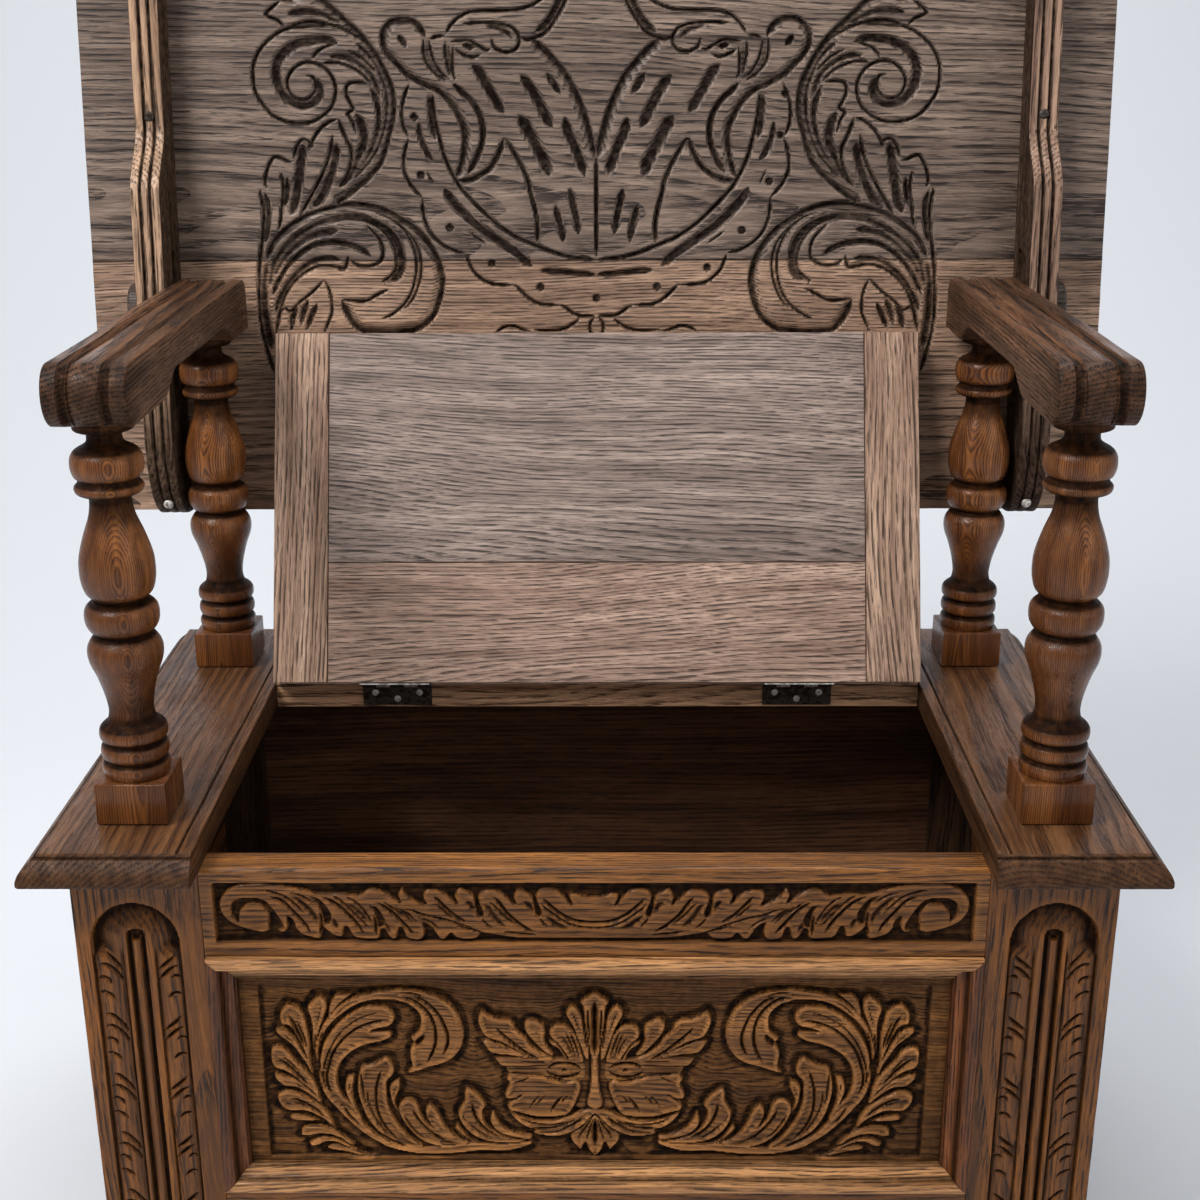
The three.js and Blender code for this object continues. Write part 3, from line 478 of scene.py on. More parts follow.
# Rails of the front: a frieze rail with a band of acanthus leaves on a sunk ground, and a plain
# bottom rail. Both are tenoned into the stiles; the frieze rail's top edge is worn round.
def within(columns, rows, outline):
    """True at the crossings inside a closed outline."""
    x, y = np.meshgrid(columns, rows)
    found = np.zeros(x.shape, dtype=bool)
    for (x0, y0), (x1, y1) in zip(outline, np.roll(outline, -1, axis=0)):
        if y0 != y1:
            found ^= ((y0 > y) != (y1 > y)) & (x < (x1 - x0) * (y - y0) / (y1 - y0) + x0)
    return found


def stand_up(columns, rows, ground, leaves, pits):
    """Leaves left standing over a ground dished out round them, each with a crisp edge and a hollow.

    A leaf has the height of its rim, how far its blade is hollowed, and its outline. A pit is an
    outline cut down to the ground. Returns the depth, and how far each crossing is from a leaf.
    """
    depth = np.full((len(rows), len(columns)), float(ground))
    clear = np.full(depth.shape, 40.0)
    for top, hollow, points in leaves:
        outline = smooth_path(points + points[:2])
        away = nearest(columns, rows, outline, 24)[0]
        inside = within(columns, rows, outline)
        rise = np.clip(away / 1.3, 0, 1) ** 0.6
        leaf = ground - (ground - top) * rise + hollow * smoothstep(away, 1, 6)
        depth = np.where(inside, np.minimum(depth, leaf), depth)
        clear = np.minimum(clear, np.where(inside, 0, away))
    for points in pits:
        outline = smooth_path(points + points[:2])
        fall = np.clip(nearest(columns, rows, outline, 4)[0] / 1.3, 0, 1) ** 0.6
        depth = np.where(within(columns, rows, outline), np.maximum(depth, ground * fall), depth)
    return depth, clear


def mirrored(half_field):
    """Both halves of a field that was worked out from the middle outwards."""
    return np.concatenate([half_field[:, :0:-1], half_field], axis=1)


def both_ways(half_grid):
    """Grid lines to both sides of the middle."""
    return np.concatenate([-half_grid[:0:-1], half_grid])


# Half of the frieze: millimetres from the middle, and height above the floor
frieze_leaves = [(0.5, 0.5, (
    0, 352.5, 45, 352.5, 62, 353.5, 76, 356, 84, 357, 87, 353.5, 92, 352, 98, 352, 104, 353.5, 107, 357,
    109, 355, 112, 351.8, 116, 352.5, 119, 357, 123, 361, 126, 361, 127, 355, 130, 351.5, 136, 351.3,
    141, 353.5, 143, 359, 145, 362, 147, 357, 148, 352.5, 151, 352, 154, 354, 157, 360, 159.5, 360, 160, 355,
    162, 352.3, 170, 352, 178, 353, 181.5, 355.5, 184, 361, 186, 363, 187.5, 359, 188, 355, 190, 354,
    195, 355, 201, 360, 203, 362, 204, 356, 206, 352.3, 212, 353.5, 219, 356, 222, 359, 224, 362, 226, 366,
    228, 366, 229, 362, 231, 358.5, 235, 358, 240, 361, 243, 359.5, 247, 358, 252, 358.3, 262, 361, 272, 366,
    278, 373, 280, 381, 278, 388, 273, 394, 265, 398, 255, 399.5, 240, 399, 228, 397.5, 216, 394.5,
    207, 391.5, 200, 390.5, 190, 391, 180, 390, 175, 389.5, 172, 391.5, 168, 394, 163, 394.8, 157, 393,
    152, 390, 147, 385.5, 144, 383.5, 146, 388, 145.5, 391, 142.5, 395, 140, 391, 136, 387, 130, 383,
    125, 381, 127, 386, 127, 391, 124, 394, 118, 394.2, 112, 392, 107, 388, 102, 382.5, 104, 388, 103, 391,
    100, 395, 94, 393.2, 89, 390, 88, 384, 87.5, 377, 85, 371, 83, 374, 85.5, 382, 86.5, 388, 84.5, 391.5,
    80, 394, 73, 394, 68, 391.5, 63, 386, 58.5, 382, 60, 387, 59, 391, 56, 394.8, 51, 392.5, 45.5, 388.5,
    44, 382, 43.5, 376, 41, 371.5, 39.5, 375, 42.5, 383, 43.5, 389, 41, 393.5, 36, 395, 29, 394.5, 24, 391,
    20, 386.5, 16.5, 381.5, 18.5, 387, 18, 390.5, 13, 391.3, 8, 389, 0, 388, -8, 388, -8, 352.5,
))]
frieze_pits = [
    (266, 366.5, 270, 371, 271.5, 378, 269, 384, 262, 387, 252, 387, 245, 384.5, 240, 378.5, 236, 372,
    233, 366, 232, 361, 236, 359, 243, 357, 243.5, 368, 243, 373, 246, 378, 250, 381, 256, 381.5, 261, 379,
    264.5, 374, 265, 369), (213, 389.5, 206, 387, 200, 381, 196, 373, 197, 366, 202, 364, 203, 371, 204, 376,
    206, 381, 209, 386), (168, 381, 162, 379, 158, 373, 156, 367, 158, 362, 162, 362, 163, 370, 164, 375),
    (129, 367, 124, 365, 119, 360, 121, 357, 126, 358, 128, 362), (230, 373, 225, 369, 223, 362, 227, 360,
    229.5, 366),
]
frieze_cuts = [
    ("V", 2.2, 2.2, 4.2, [
        (242, 389, 232, 384, 225, 376, 220, 370, 215, 363, 212, 357), (203, 389, 192, 382, 186, 376,
        180, 369, 176, 363, 172, 356.5), (163, 384, 157, 380, 150, 374, 144, 367, 138, 360, 134, 356),
        (120, 390, 116, 385, 110, 378, 104, 372, 98, 368, 93, 366), (76, 389, 72, 385, 68, 379, 64, 373,
        58, 367, 52, 362, 44, 358), (39, 388, 35, 383, 30, 378, 24, 373, 17, 369, 10, 367, 0, 366.5,
        -8, 367), (205, 378, 204, 370, 204, 362, 206, 353), (164, 373, 163.5, 364, 163, 355),
    ]),
    ("V", 1.5, 1.5, 3.4, [
        (197, 391, 190, 386, 184, 380, 179, 374, 173, 367, 167, 361), (158, 385, 151, 379, 146, 375,
        140, 371, 134, 364), (120, 384, 114, 378, 108, 372, 102, 368), (79, 385, 74, 380, 69, 374, 63, 368,
        56, 363), (40, 384, 36, 378, 30, 373, 22, 367, 14, 363.5, 5, 362, -5, 362), (143, 378, 135, 376,
        128, 373, 120, 371, 112, 369, 104, 366, 96, 363, 90, 360, 80, 357), (84, 371, 82, 367, 78, 363,
        74, 361), (41, 371, 38, 366, 34, 362), (133, 371, 125, 368, 118, 363, 114, 359), (186, 389, 178, 384,
        172, 377, 167, 368, 165, 362), (250, 394, 240, 392, 230, 388, 222, 381, 215, 373), (104, 364,
        96, 361, 88, 359), (228, 392, 218, 389, 211, 384, 207, 379), (70, 359, 56, 357, 40, 355.5),
        (150, 381, 143, 375, 136, 370, 130, 365),
    ]),
    ("U", 3.4, 3.4, 2.6, [
        (85, 383, 79, 379, 75, 372, 70, 366, 64, 362), (38, 374, 32, 368, 25, 363, 17, 361), (53, 385,
        47, 379, 45, 373), (96, 386, 91, 380, 89, 374), (188, 384, 180, 379, 173, 372, 168, 364), (226, 390,
        219, 384, 213, 378, 208, 370, 207, 362), (140, 390, 135, 387, 130, 384), (198, 371, 194, 366,
        192, 360), (160, 369, 155, 362, 152, 357), (148, 379, 141, 374, 134, 369), (214, 387, 206, 384,
        200, 378),
    ]),
]
frieze_ground = 4.0
rail_half, rail_thickness, top_round = 293.0, 28, 4.5
rail_low, rail_high = 337.7, 411.7
half_columns = lines(0, rail_half, 1)
rows = lines(rail_low + edge_round, rail_high - top_round, 1)
x, z = np.meshgrid(half_columns, rows)
sunk = smoothstep(284 - x, 0, 2) * smoothstep(z, 349, 351.5) * smoothstep(400.5 - z, 0, 2.5)
leaves = stand_up(half_columns, rows, frieze_ground, frieze_leaves, frieze_pits)[0]
depth = mirrored(carve(leaves, half_columns, rows, frieze_cuts) * sunk)
across = both_ways(half_columns)
depth = depth + hand_planed(across, rows, 0.2, 0.18, 80, 41)
nose = [
    (top_round * (1 - math.cos(a)), 0, 0, edge_round * math.sin(a), top_round * math.sin(a))
    for a in lines(0.2, math.pi / 2, 0.25)
]
rail_rings = nose + [(rail_thickness - edge_round, 0, 0, edge_round, top_round), (rail_thickness, 0, 0, 0, 3)]
frieze_oak = oak("frieze oak", "#ac6e33", "#462811", (0, chest_front + 150, 290), (1, 0.01, 0.02), gloss=0.32)
# Its fields darken the cuts with dirt and painted shade and lighten the high places with wear and painted
# highlight
front_board(
    "frieze_rail", "carved", across, rows, depth, rail_rings, chest_front, frieze_oak,
    tones(depth, frieze_ground, 0.68, 0.66), seed=42,
)

bottom_low, bottom_high = 55, 127
rows = lines(bottom_low + edge_round, bottom_high - edge_round, 6)
across = lines(-rail_half, rail_half, 8)
plain_rings = [(down, 0, 0, foot, head) for down, _, _, foot, head in rounding(edge_round, rail_thickness)]
bottom_oak = oak("bottom rail oak", "#a5662b", "#4a270f", (0, chest_front + 190, 20), (1, 0.01, 0.015))
depth = hand_planed(across, rows, 0.2, 0.18, 80, 44)
front_board(
    "bottom_rail", "worn", across, rows, depth, plain_rings, chest_front, bottom_oak, {}, wear=0.0,
)


# The front panel, a thin board in grooves of the frame. A grotesque leafy mask stands in the middle
# between two leafy scrolls, all left standing on a ground that was cut away round them.
panel_leaves = [
    # The fan of leaves at the end of the scroll, from the top round to the foot
    (0.2, 1.4, (234, 296.5, 239, 291, 241, 284, 239.5, 277.5, 235, 277, 232, 273.5, 229.5, 268, 227, 262,
        224, 254, 221, 244, 218, 234, 216.5, 240, 218, 252, 218.5, 266, 220, 278, 222, 288, 227, 294)),
    (0.6, 0.8, (244, 275, 245, 271.5, 242, 267.5, 237, 263, 232, 258, 228, 251, 223, 242, 219, 232, 217, 238,
        220, 246, 224, 254, 228, 262, 231, 267, 235, 272, 240, 274.8)),
    (0.2, 1.2, (245, 258.7, 249, 256.5, 250, 250, 249.5, 243, 246.5, 238.5, 241, 236.5, 236, 233.5, 231, 229,
        225, 223, 219, 217, 214, 210, 214, 218, 217, 228, 222, 236, 228, 243, 232, 248, 235, 253.5,
        240, 257.5)),
    (0.5, 1.0, (248.5, 233.5, 248, 229.5, 245, 225.5, 241, 222, 234, 221.5, 228, 219, 220, 212.5, 213, 206,
        213, 212, 219, 218, 226, 225, 232, 229, 238, 231, 243, 233.2)),
    (0.2, 1.3, (240, 218.7, 245.5, 216, 247.3, 211.5, 245, 205, 240.5, 200.5, 234, 199.8, 226, 199.8,
        219, 196.5, 211, 191, 204, 184, 205, 192, 209, 200, 215, 207, 222, 212, 229, 215.8, 234, 218)),
    (0.6, 0.7, (239.3, 193.2, 236, 196.3, 230, 196, 222, 194, 214, 190, 206, 184, 200, 178, 203, 183,
        209, 188, 215, 189.7, 224, 190.3, 234, 190.7)),
    (0.8, 1.2, (231, 177, 230, 183, 225, 185.7, 217, 186, 209, 184.5, 202, 181, 194, 174, 188, 167, 194, 169,
        201, 174, 208, 177.3, 217, 178, 225, 176)),
    (0.3, 0.8, (225, 169.8, 222, 172.2, 217, 174.8, 210, 175.3, 203, 173.5, 194, 169, 186, 163, 190, 163,
        197, 167.5, 205, 171, 212, 170.8, 217, 168, 223, 167.3)),
    (1.2, 0.6, (212, 165, 208, 167.8, 201, 168.2, 193, 166, 184, 161, 176, 158, 184, 157.5, 196, 161,
        206, 163)),
    (0.2, 1.0, (208.5, 304, 204.5, 300, 203.8, 293, 206, 285, 209, 277, 212, 268, 214, 258, 215.5, 246,
        216.5, 252, 217, 264, 216.5, 274, 217.5, 284, 219.5, 292, 216, 298, 212, 302)),
    (1.2, 0.5, (201, 299, 197, 304, 191, 305.3, 184, 304.6, 189, 300, 196, 293, 203, 283, 203.5, 290)),
    # The band along the top and the crescent leaf it ends in
    (0.2, 1.0, (206, 282, 199, 290.5, 192, 297, 184, 301.8, 175, 305, 165, 307.7, 155, 309.3, 146, 309.7,
        146, 299, 155, 299.6, 165, 299.3, 175, 297.5, 184, 293.3, 192, 287.3, 200, 280, 207, 270, 211, 258,
        213.5, 244, 215.5, 252, 213, 266, 210, 275)),
    (0.2, 1.3, (150, 309.7, 140, 309.3, 130, 307.5, 120, 303.5, 112, 298, 106, 291, 102, 282, 100.3, 272,
        101, 262, 104, 254, 110, 247, 118, 242.5, 128, 239.5, 137, 236, 145, 234.2, 141.5, 240, 142.2, 247,
        142.5, 253, 141, 258, 139, 262, 141.5, 266, 138.5, 268.5, 134.5, 273, 133.3, 280, 134, 286, 137, 291,
        143, 296, 150, 299)),
    # The big leaf with two hooks, the tall leaf, and small ones beside it
    (0.3, 1.4, (214, 225, 213, 240, 211, 253, 207, 264, 200, 275, 192, 284, 183, 290, 174, 294, 165, 295,
        158, 293.3, 153.5, 288.5, 152.3, 283.5, 154.5, 278.5, 158, 275.8, 165, 274.3, 171, 271.8, 165, 271.5,
        158, 271.5, 155.2, 269.5, 156, 266.5, 163, 262.8, 173, 260.3, 182, 256.5, 190, 250.5, 196, 242.5,
        198.7, 234, 199, 226, 197.5, 219, 194.5, 213, 190, 208, 185, 202, 181, 194, 186, 190, 196, 197,
        204, 205, 210, 214)),
    (0.3, 0.7, (191, 231.5, 186, 232, 186.5, 224, 186.5, 216, 184.5, 208, 181.5, 199, 184, 196, 189, 203,
        192, 210, 194, 217, 193.8, 224, 192.5, 229)),
    (0.4, 1.6, (161.5, 249, 158, 247, 155.3, 242, 154.8, 236, 157, 231, 160.5, 227, 161, 220, 160.8, 210,
        159.5, 202, 156.5, 194, 151, 184, 144, 175, 135, 167.5, 140, 164, 150, 166, 160, 171, 168, 178,
        175, 187, 180, 197, 183, 208, 184.5, 218, 184, 228, 182, 236, 180, 240.5, 172, 242.5, 166, 245.5)),
    (0.4, 1.2, (151, 229, 150.5, 224, 152, 218, 154, 213, 155, 207, 152, 198, 155, 200, 158, 206, 159.5, 214,
        159.8, 221, 157, 226)),
    # The stem along the foot and the leaves that rise from it
    (0.2, 0.8, (203, 201, 197, 195, 191, 188.5, 184, 180.5, 176, 173.5, 166, 167.5, 154, 163, 140, 160,
        125, 159.3, 108, 160.5, 90, 162.8, 72, 162.5, 60, 165, 50, 169, 50, 172.3, 60, 171.5, 75, 170.5,
        92, 171, 108, 170, 124, 167.5, 140, 167, 152, 169, 162, 173, 171, 178.5, 178, 186, 184, 195,
        190, 203, 196, 206)),
    (0.3, 1.4, (146, 211.5, 141, 210, 137.5, 206, 136, 200, 133.5, 193, 130, 188, 124, 184, 117, 178.5,
        108, 174, 98, 171.5, 108, 166, 122, 166.5, 134, 171, 143, 179, 149, 188, 152.5, 196, 153.5, 203,
        151, 208.5)),
    (0.3, 1.1, (128.3, 206.5, 131.8, 202.5, 132.3, 196, 130, 189, 125, 182, 117, 176, 107, 171, 98, 169,
        103, 173, 110, 178, 115.5, 184, 119, 191, 121.5, 198, 124.5, 203)),
    (0.4, 0.6, (108, 187.5, 109.8, 183, 107.5, 178, 102, 172.5, 94, 168, 84, 164.5, 76, 165, 84, 168,
        92, 171, 98, 175, 102.5, 181, 106, 186)),
    (0.2, 1.4, (100, 221.5, 95, 219.5, 90, 215, 86, 209.5, 84.5, 204.5, 87, 200.5, 87, 195, 85, 188.5,
        81, 183.5, 75, 179, 68, 176, 60, 174, 52, 173, 60, 170.5, 72, 170, 84, 171.5, 92, 174.5, 99, 180,
        104, 187, 106.5, 194, 106.5, 200, 104, 205, 101.5, 210, 101.5, 216)),
    (0.5, 0.8, (79.8, 199.5, 82, 193, 81, 186.5, 77, 181, 70, 177, 60, 174.3, 50, 173.3, 50, 177.5,
        58, 178.5, 66, 181.5, 72, 186, 76, 192, 78, 197)),
    # The mask's crown of leaves and its brow
    (0.2, 1.6, (86, 291, 89, 285, 89.3, 279, 87, 272, 84, 267, 79, 264.5, 72, 262, 64, 257, 56, 251.5,
        48, 247, 40, 245, 30, 246, 34, 250, 42, 254, 49, 260, 52, 266, 56, 269.5, 60, 274, 61.5, 279,
        66, 282.5, 73, 283.5, 79, 285.5)),
    (0.7, 0.7, (87, 262.5, 84, 264.3, 79, 263.7, 72, 261, 62, 256, 52, 250, 44, 246, 56, 248, 66, 250,
        78, 251.5, 82, 254, 85, 259)),
    (0.9, 0.5, (78, 248, 75, 243.5, 72, 240.5, 60, 240, 46, 240.7, 32, 241.5, 20, 242.5, 12, 243.5, 8, 246,
        10, 249, 22, 247.5, 34, 247.3, 48, 248.3, 64, 249)),
    (0.8, 0.8, (50, 283, 53.8, 279.5, 54, 274, 51.5, 268, 47, 262, 41, 255, 35, 250, 31, 251, 35, 257,
        38, 264, 37.5, 271, 38.5, 277.5, 42, 280, 46, 282.5)),
    (0.3, 1.4, (29, 278.3, 33.5, 275, 35, 270, 33.5, 265.5, 29, 261, 25, 255, 21, 248, 19, 244, 9, 244,
        8, 248, 10, 255, 12, 263, 14.5, 270, 19, 275.5, 24, 278)),
    (0.5, 0.6, (36, 262.8, 33, 258.8, 29, 256.3, 26, 252, 24, 247, 22.5, 243.5, 20, 244, 21.5, 249, 25, 256,
        28.5, 261, 32, 263.8)),
    (0.2, 1.0, (17.3, 296, 21.3, 291, 22, 286, 19, 280, 16, 273, 13.5, 265, 10.5, 256, 8, 248, 4, 246,
        4, 256, 6, 268, 8, 279, 10, 287, 13.5, 293)),
    (0.0, 0.9, (-6, 307, 0, 307, 5, 304, 9.5, 300.5, 11.3, 297.5, 9.5, 294, 8.5, 287, 7.5, 276, 5, 262,
        3, 250, -6, 250)),
    # Its cheek, eye, nose, moustache and chin leaf
    (0.3, 1.4, (50, 233.5, 57, 233.7, 65, 234.3, 68.5, 229, 66.5, 225, 69, 219, 70, 213, 67, 210.5,
        61, 211.5, 66, 208.5, 68.3, 204, 66, 200, 60, 198.5, 54, 196.5, 46, 194.5, 38, 194, 30, 194.5,
        22, 196, 18, 200, 15, 206, 12.5, 213, 10.5, 220, 11, 226, 15, 229, 20, 227, 27, 227, 34, 229.5,
        40, 232)),
    (1.2, 0.0, (32, 236, 28, 238, 24, 238.4, 19, 237.6, 16, 235.6, 19, 233.4, 24, 232.8, 29, 233.6)),
    (2.2, 0.0, (70, 241, 40, 243, 10, 245, 10, 226, 34, 229, 52, 232, 66, 233)),
    (2.6, 0.0, (-6, 250, 8, 250, 12, 240, 16, 232, 18, 222, 18, 212, 17, 204, 10, 200, -6, 200)),
    (0.0, 0.0, (-6, 254, 2.4, 254, 2.8, 244, 3.4, 230, 4.6, 218, 6.2, 210, 5.8, 204.5, 2, 202, -6, 202)),
    (0.2, 1.2, (67, 199.8, 65.5, 196, 61, 190.5, 55, 185.5, 47, 182, 49, 179.5, 42, 177.5, 32, 176.3,
        23, 178, 15, 182, 8, 188, 3, 194, 0, 197, -4, 198, -4, 203, 0, 203.3, 6, 202, 13, 199.5, 20, 196,
        28, 192.8, 37, 191.3, 48, 191.8, 57, 194.5, 63, 198)),
    (0.6, 1.0, (0, 197, 4, 194, 8, 189, 12, 184.5, 17, 181.5, 19.5, 177, 18.5, 171.5, 15, 167, 11.5, 163.5,
        9, 167.5, 7.5, 170.5, 6, 165, 3, 160, 0, 157.5, -4, 159, -4, 197)),
]
panel_pits = [(131, 270, 134, 267, 139, 262.5, 137, 258.5, 133.5, 260.5, 130.5, 265)]
panel_cuts = [
    ("V", 2.2, 2.2, 4.9, [
        (235, 287, 231, 280, 228.5, 273, 226, 266, 223, 257), (246, 248, 240, 243.5, 234, 237.5, 228, 230.5,
        222, 224), (239, 211.5, 232, 209.5, 225, 206, 217, 200, 211, 194), (159, 281.5, 170, 279, 181, 274.5,
        190, 267.5, 197, 259.5, 202, 251, 205, 242, 207.5, 232, 207, 222, 203, 214), (217, 273, 218, 258,
        218, 243, 216, 230, 212, 217, 206, 206, 199, 197, 192, 188, 184, 180, 174, 172, 164, 167), (149, 302,
        141, 300, 134, 295.5, 128, 289, 124, 281, 122, 272, 122, 263, 124, 255, 127, 248, 130, 243),
        (140, 302, 132, 299.5, 125, 293.5, 119, 285.5, 115, 276, 112.5, 266, 114, 257, 118, 248.5),
        (164.5, 238, 167, 231, 169.5, 222, 170.5, 212, 170, 201, 167, 190, 161.5, 180, 154, 172),
        (186.5, 228, 187, 216, 185, 205, 181, 194, 175, 184, 167, 177, 157, 170.5, 147, 166.5), (143, 203,
        140.5, 196, 136.5, 189, 130.5, 181.5, 124, 175.5, 116, 171.5), (95.5, 209, 95, 200, 92.5, 192,
        88, 185, 82, 179.5, 74, 175.5), (77, 277, 73, 271, 67, 264.5, 61, 259, 55, 254, 49, 250, 42, 247),
        (24, 214.5, 28, 209.5, 32, 203.5, 35.5, 197), (241, 276.5, 236, 276.5, 232, 272.5, 230, 267),
        (248, 235.5, 242, 234.8, 236, 231.5, 231, 228.5), (171, 271, 164, 272.8, 155, 273),
    ]),
    ("V", 1.5, 1.5, 3.8, [
        (229, 283.5, 226, 275, 223, 266, 221, 256), (241.5, 250, 236, 244.5, 231, 238, 226, 231),
        (163, 288.5, 170, 286.5, 179, 283, 188, 277, 195, 270, 201, 261, 206, 250, 209, 240, 210, 228,
        208, 218), (208, 274, 211, 262, 212.5, 250, 212, 238, 210, 226), (213.5, 272, 215.5, 258, 215.8, 245,
        214, 230, 210, 217), (236, 207.5, 230, 206, 223, 202), (177, 222, 177, 212, 175.5, 203, 172, 193,
        167, 184, 160, 175), (150, 198, 146, 189, 140, 180, 132, 173.5), (100, 190, 95, 184, 88, 178,
        80, 174), (71, 270, 64, 263, 57, 256.5, 50, 251.5), (40.5, 216.5, 46, 210, 50, 204.5, 53, 200.5),
        (37, 215.5, 43, 208.5, 47, 203.5), (20, 214.5, 24, 210, 27, 206), (50.5, 233, 53, 229, 58, 226.5,
        64, 224), (56, 215, 61, 211.5), (60, 194, 52, 190, 44, 188, 34, 187, 26, 188.5, 19, 191.5),
        (52, 184.5, 44, 183.8, 36, 184, 28, 185.5, 20, 189, 13, 194), (47, 181, 38, 179.8, 30, 180.5,
        22, 184, 14, 189, 7, 195), (28, 183, 20, 186, 13, 191, 8, 197), (2, 195, 6, 187, 11, 179, 14, 171),
        (1, 194, 3.5, 185, 6, 176, 7, 170), (23.5, 273, 20.5, 266, 18, 259, 16, 252, 15, 247), (19.5, 273,
        16.5, 264, 13.5, 255, 12, 248), (26.5, 269, 23, 263, 19.5, 256, 17.5, 248), (8.6, 297, 8.8, 285,
        7.6, 270, 6, 256), (5.3, 292, 5, 280, 4, 262), (224, 175, 216, 176.7, 209, 176.5, 201, 174.5,
        194, 170), (196, 206, 192, 196, 184, 187), (181, 236, 180.5, 225, 180, 214, 178, 204), (110, 187,
        107, 180, 101, 174, 93, 169.5), (150, 306, 138, 305, 128, 301),
    ]),
    ("V", 3.8, 3.8, 5.6, [(0, 299, 0, 275, 0, 252), (0, 193, 0, 180, 0, 166)]),
    ("V", 1.0, 1.0, 2.2, [
        (240, 270, 234, 264.5, 229, 257), (236, 227, 230, 224, 224, 219), (80, 261, 70, 257, 60, 252),
        (46, 276, 44, 269, 40, 262), (32, 259.5, 27, 254, 24, 247), (60, 222, 56, 217), (36, 224, 30, 216),
        (18, 292, 15, 283, 11, 270), (190, 228, 190, 220, 188, 210), (104, 200, 102, 192, 97, 186),
        (180, 300, 190, 294, 200, 284), (65, 245.5, 48, 244.5, 32, 245.5), (70, 280, 64, 276, 60, 270),
        (208, 298, 210, 288, 213, 276), (152, 225, 155, 219, 157, 212), (148, 207, 144, 198, 138, 189),
        (85, 285, 82, 279, 78, 273),
    ]),
    ("V", 2.4, 2.4, 6.4, [
        (38.5, 237.6, 31, 241.8, 23, 242.8, 15, 241, 10, 237), (38.5, 237.6, 34, 232.6, 28, 230.4, 20, 230.4,
        14, 232.8, 10, 237),
    ]),
    ("U", 5.5, 5.5, 2.0, [(40, 240.5, 31, 243, 22, 243, 12, 241)]),
    ("U", 1.5, 1.5, 4.6, [(26, 236.8, 23.5, 236.8, 21, 236.6)]),
    ("U", 4.5, 4.5, 1.8, [
        (105, 290, 102.5, 279, 102, 266, 105, 256, 112, 249), (129, 200, 128, 193, 125, 187), (168, 291,
        176, 288, 184, 283, 192, 275), (232, 291, 236, 284, 235, 279), (246, 254, 245, 247, 242, 242),
        (244, 214, 240, 208, 234, 203),
    ]),
]
panel_ground = 5.0
panel_low, panel_high = box("front_panel")
leafy_half, leafy_low, leafy_high = 258, 148, 316
fine, coarse = 1.05, 6
half_columns = np.concatenate([
    lines(0, leafy_half, fine), lines(leafy_half, panel_high[0] - 1, coarse)[1:],
])
rows = np.concatenate([
    lines(panel_low[2] + 1, leafy_low, coarse)[:-1], lines(leafy_low, leafy_high, fine),
    lines(leafy_high, panel_high[2] - 1, coarse)[1:],
])
x, z = np.meshgrid(half_columns, rows)
# The strokes were set on the plane of the frame, as seen from the camera; the panel lies behind it
eye_distance, eye_height = 1349.1, 1009.6
behind = (panel_low[1] - chest_front) / (chest_front + eye_distance)
trace_columns, trace_rows = half_columns / (1 + behind), (rows + eye_height * behind) / (1 + behind)
leaves, clear = stand_up(trace_columns, trace_rows, panel_ground, panel_leaves, panel_pits)
# Away from the leaves the ground rises nearly to the panel's face; a straight cut ends it at the side
dish = np.maximum(0.3 + 0.7 * np.exp(-(clear / 9) ** 1.6), 0.62 * smoothstep(x, 215, 236))
dish = dish * smoothstep(leafy_half - x, 0, 1.6) * smoothstep(z, 149.5, 153) * smoothstep(314 - z, 0, 14)
leaves = np.where(clear > 0, leaves * dish, leaves)
depth = mirrored(carve(leaves, trace_columns, trace_rows, panel_cuts))
across = both_ways(half_columns)
depth = depth + hand_planed(across, rows, 0.25, 0.2, 60, 51)
panel_oak = oak(
    "panel oak", "#c98646", "#4c2b13", (0, chest_front + 160, 110), (1, 0.015, -0.02), stain=0.5,
)
# The fields darken the cuts with dirt and painted shade and lighten the high places with wear and painted
# highlight
panel_tones = tones(depth, panel_ground, 0.78, 0.7)
# The whole sunk ground between the leaves is painted darker, painted shade
panel_tones["carved"] = np.maximum(panel_tones["carved"], 0.68 * mirrored(smoothstep(clear, 0.3, 4)))
front_board(
    "front_panel", "carved", across, rows, depth, rounding(1, panel_high[1] - panel_low[1]), panel_low[1],
    panel_oak, panel_tones, seed=52,
)


# Panel moulding: four oak strips mitred at the corners and fixed round the panel, each with a full
# round at the outer edge that stands proud of the frame, a quirk, and a hollow down to the panel.
moulding_width, moulding_back = 21.0, -9.0
moulding_face = (
    0, 4, 0.6, 5.2, 1.8, 6.0, 4, 6.4, 6.6, 6.3, 8.6, 5.4, 10, 3.4, 10.6, 1.8, 11.2, 0.8, 12.4, -0.8, 14, -2.6,
    16, -4, 18, -4.6, 19, -4.3, 20, -4.2, 21, -5.2,
)
section = np.vstack([smooth_path(moulding_face, 0.7), [(moulding_width, moulding_back), (0, moulding_back)]])
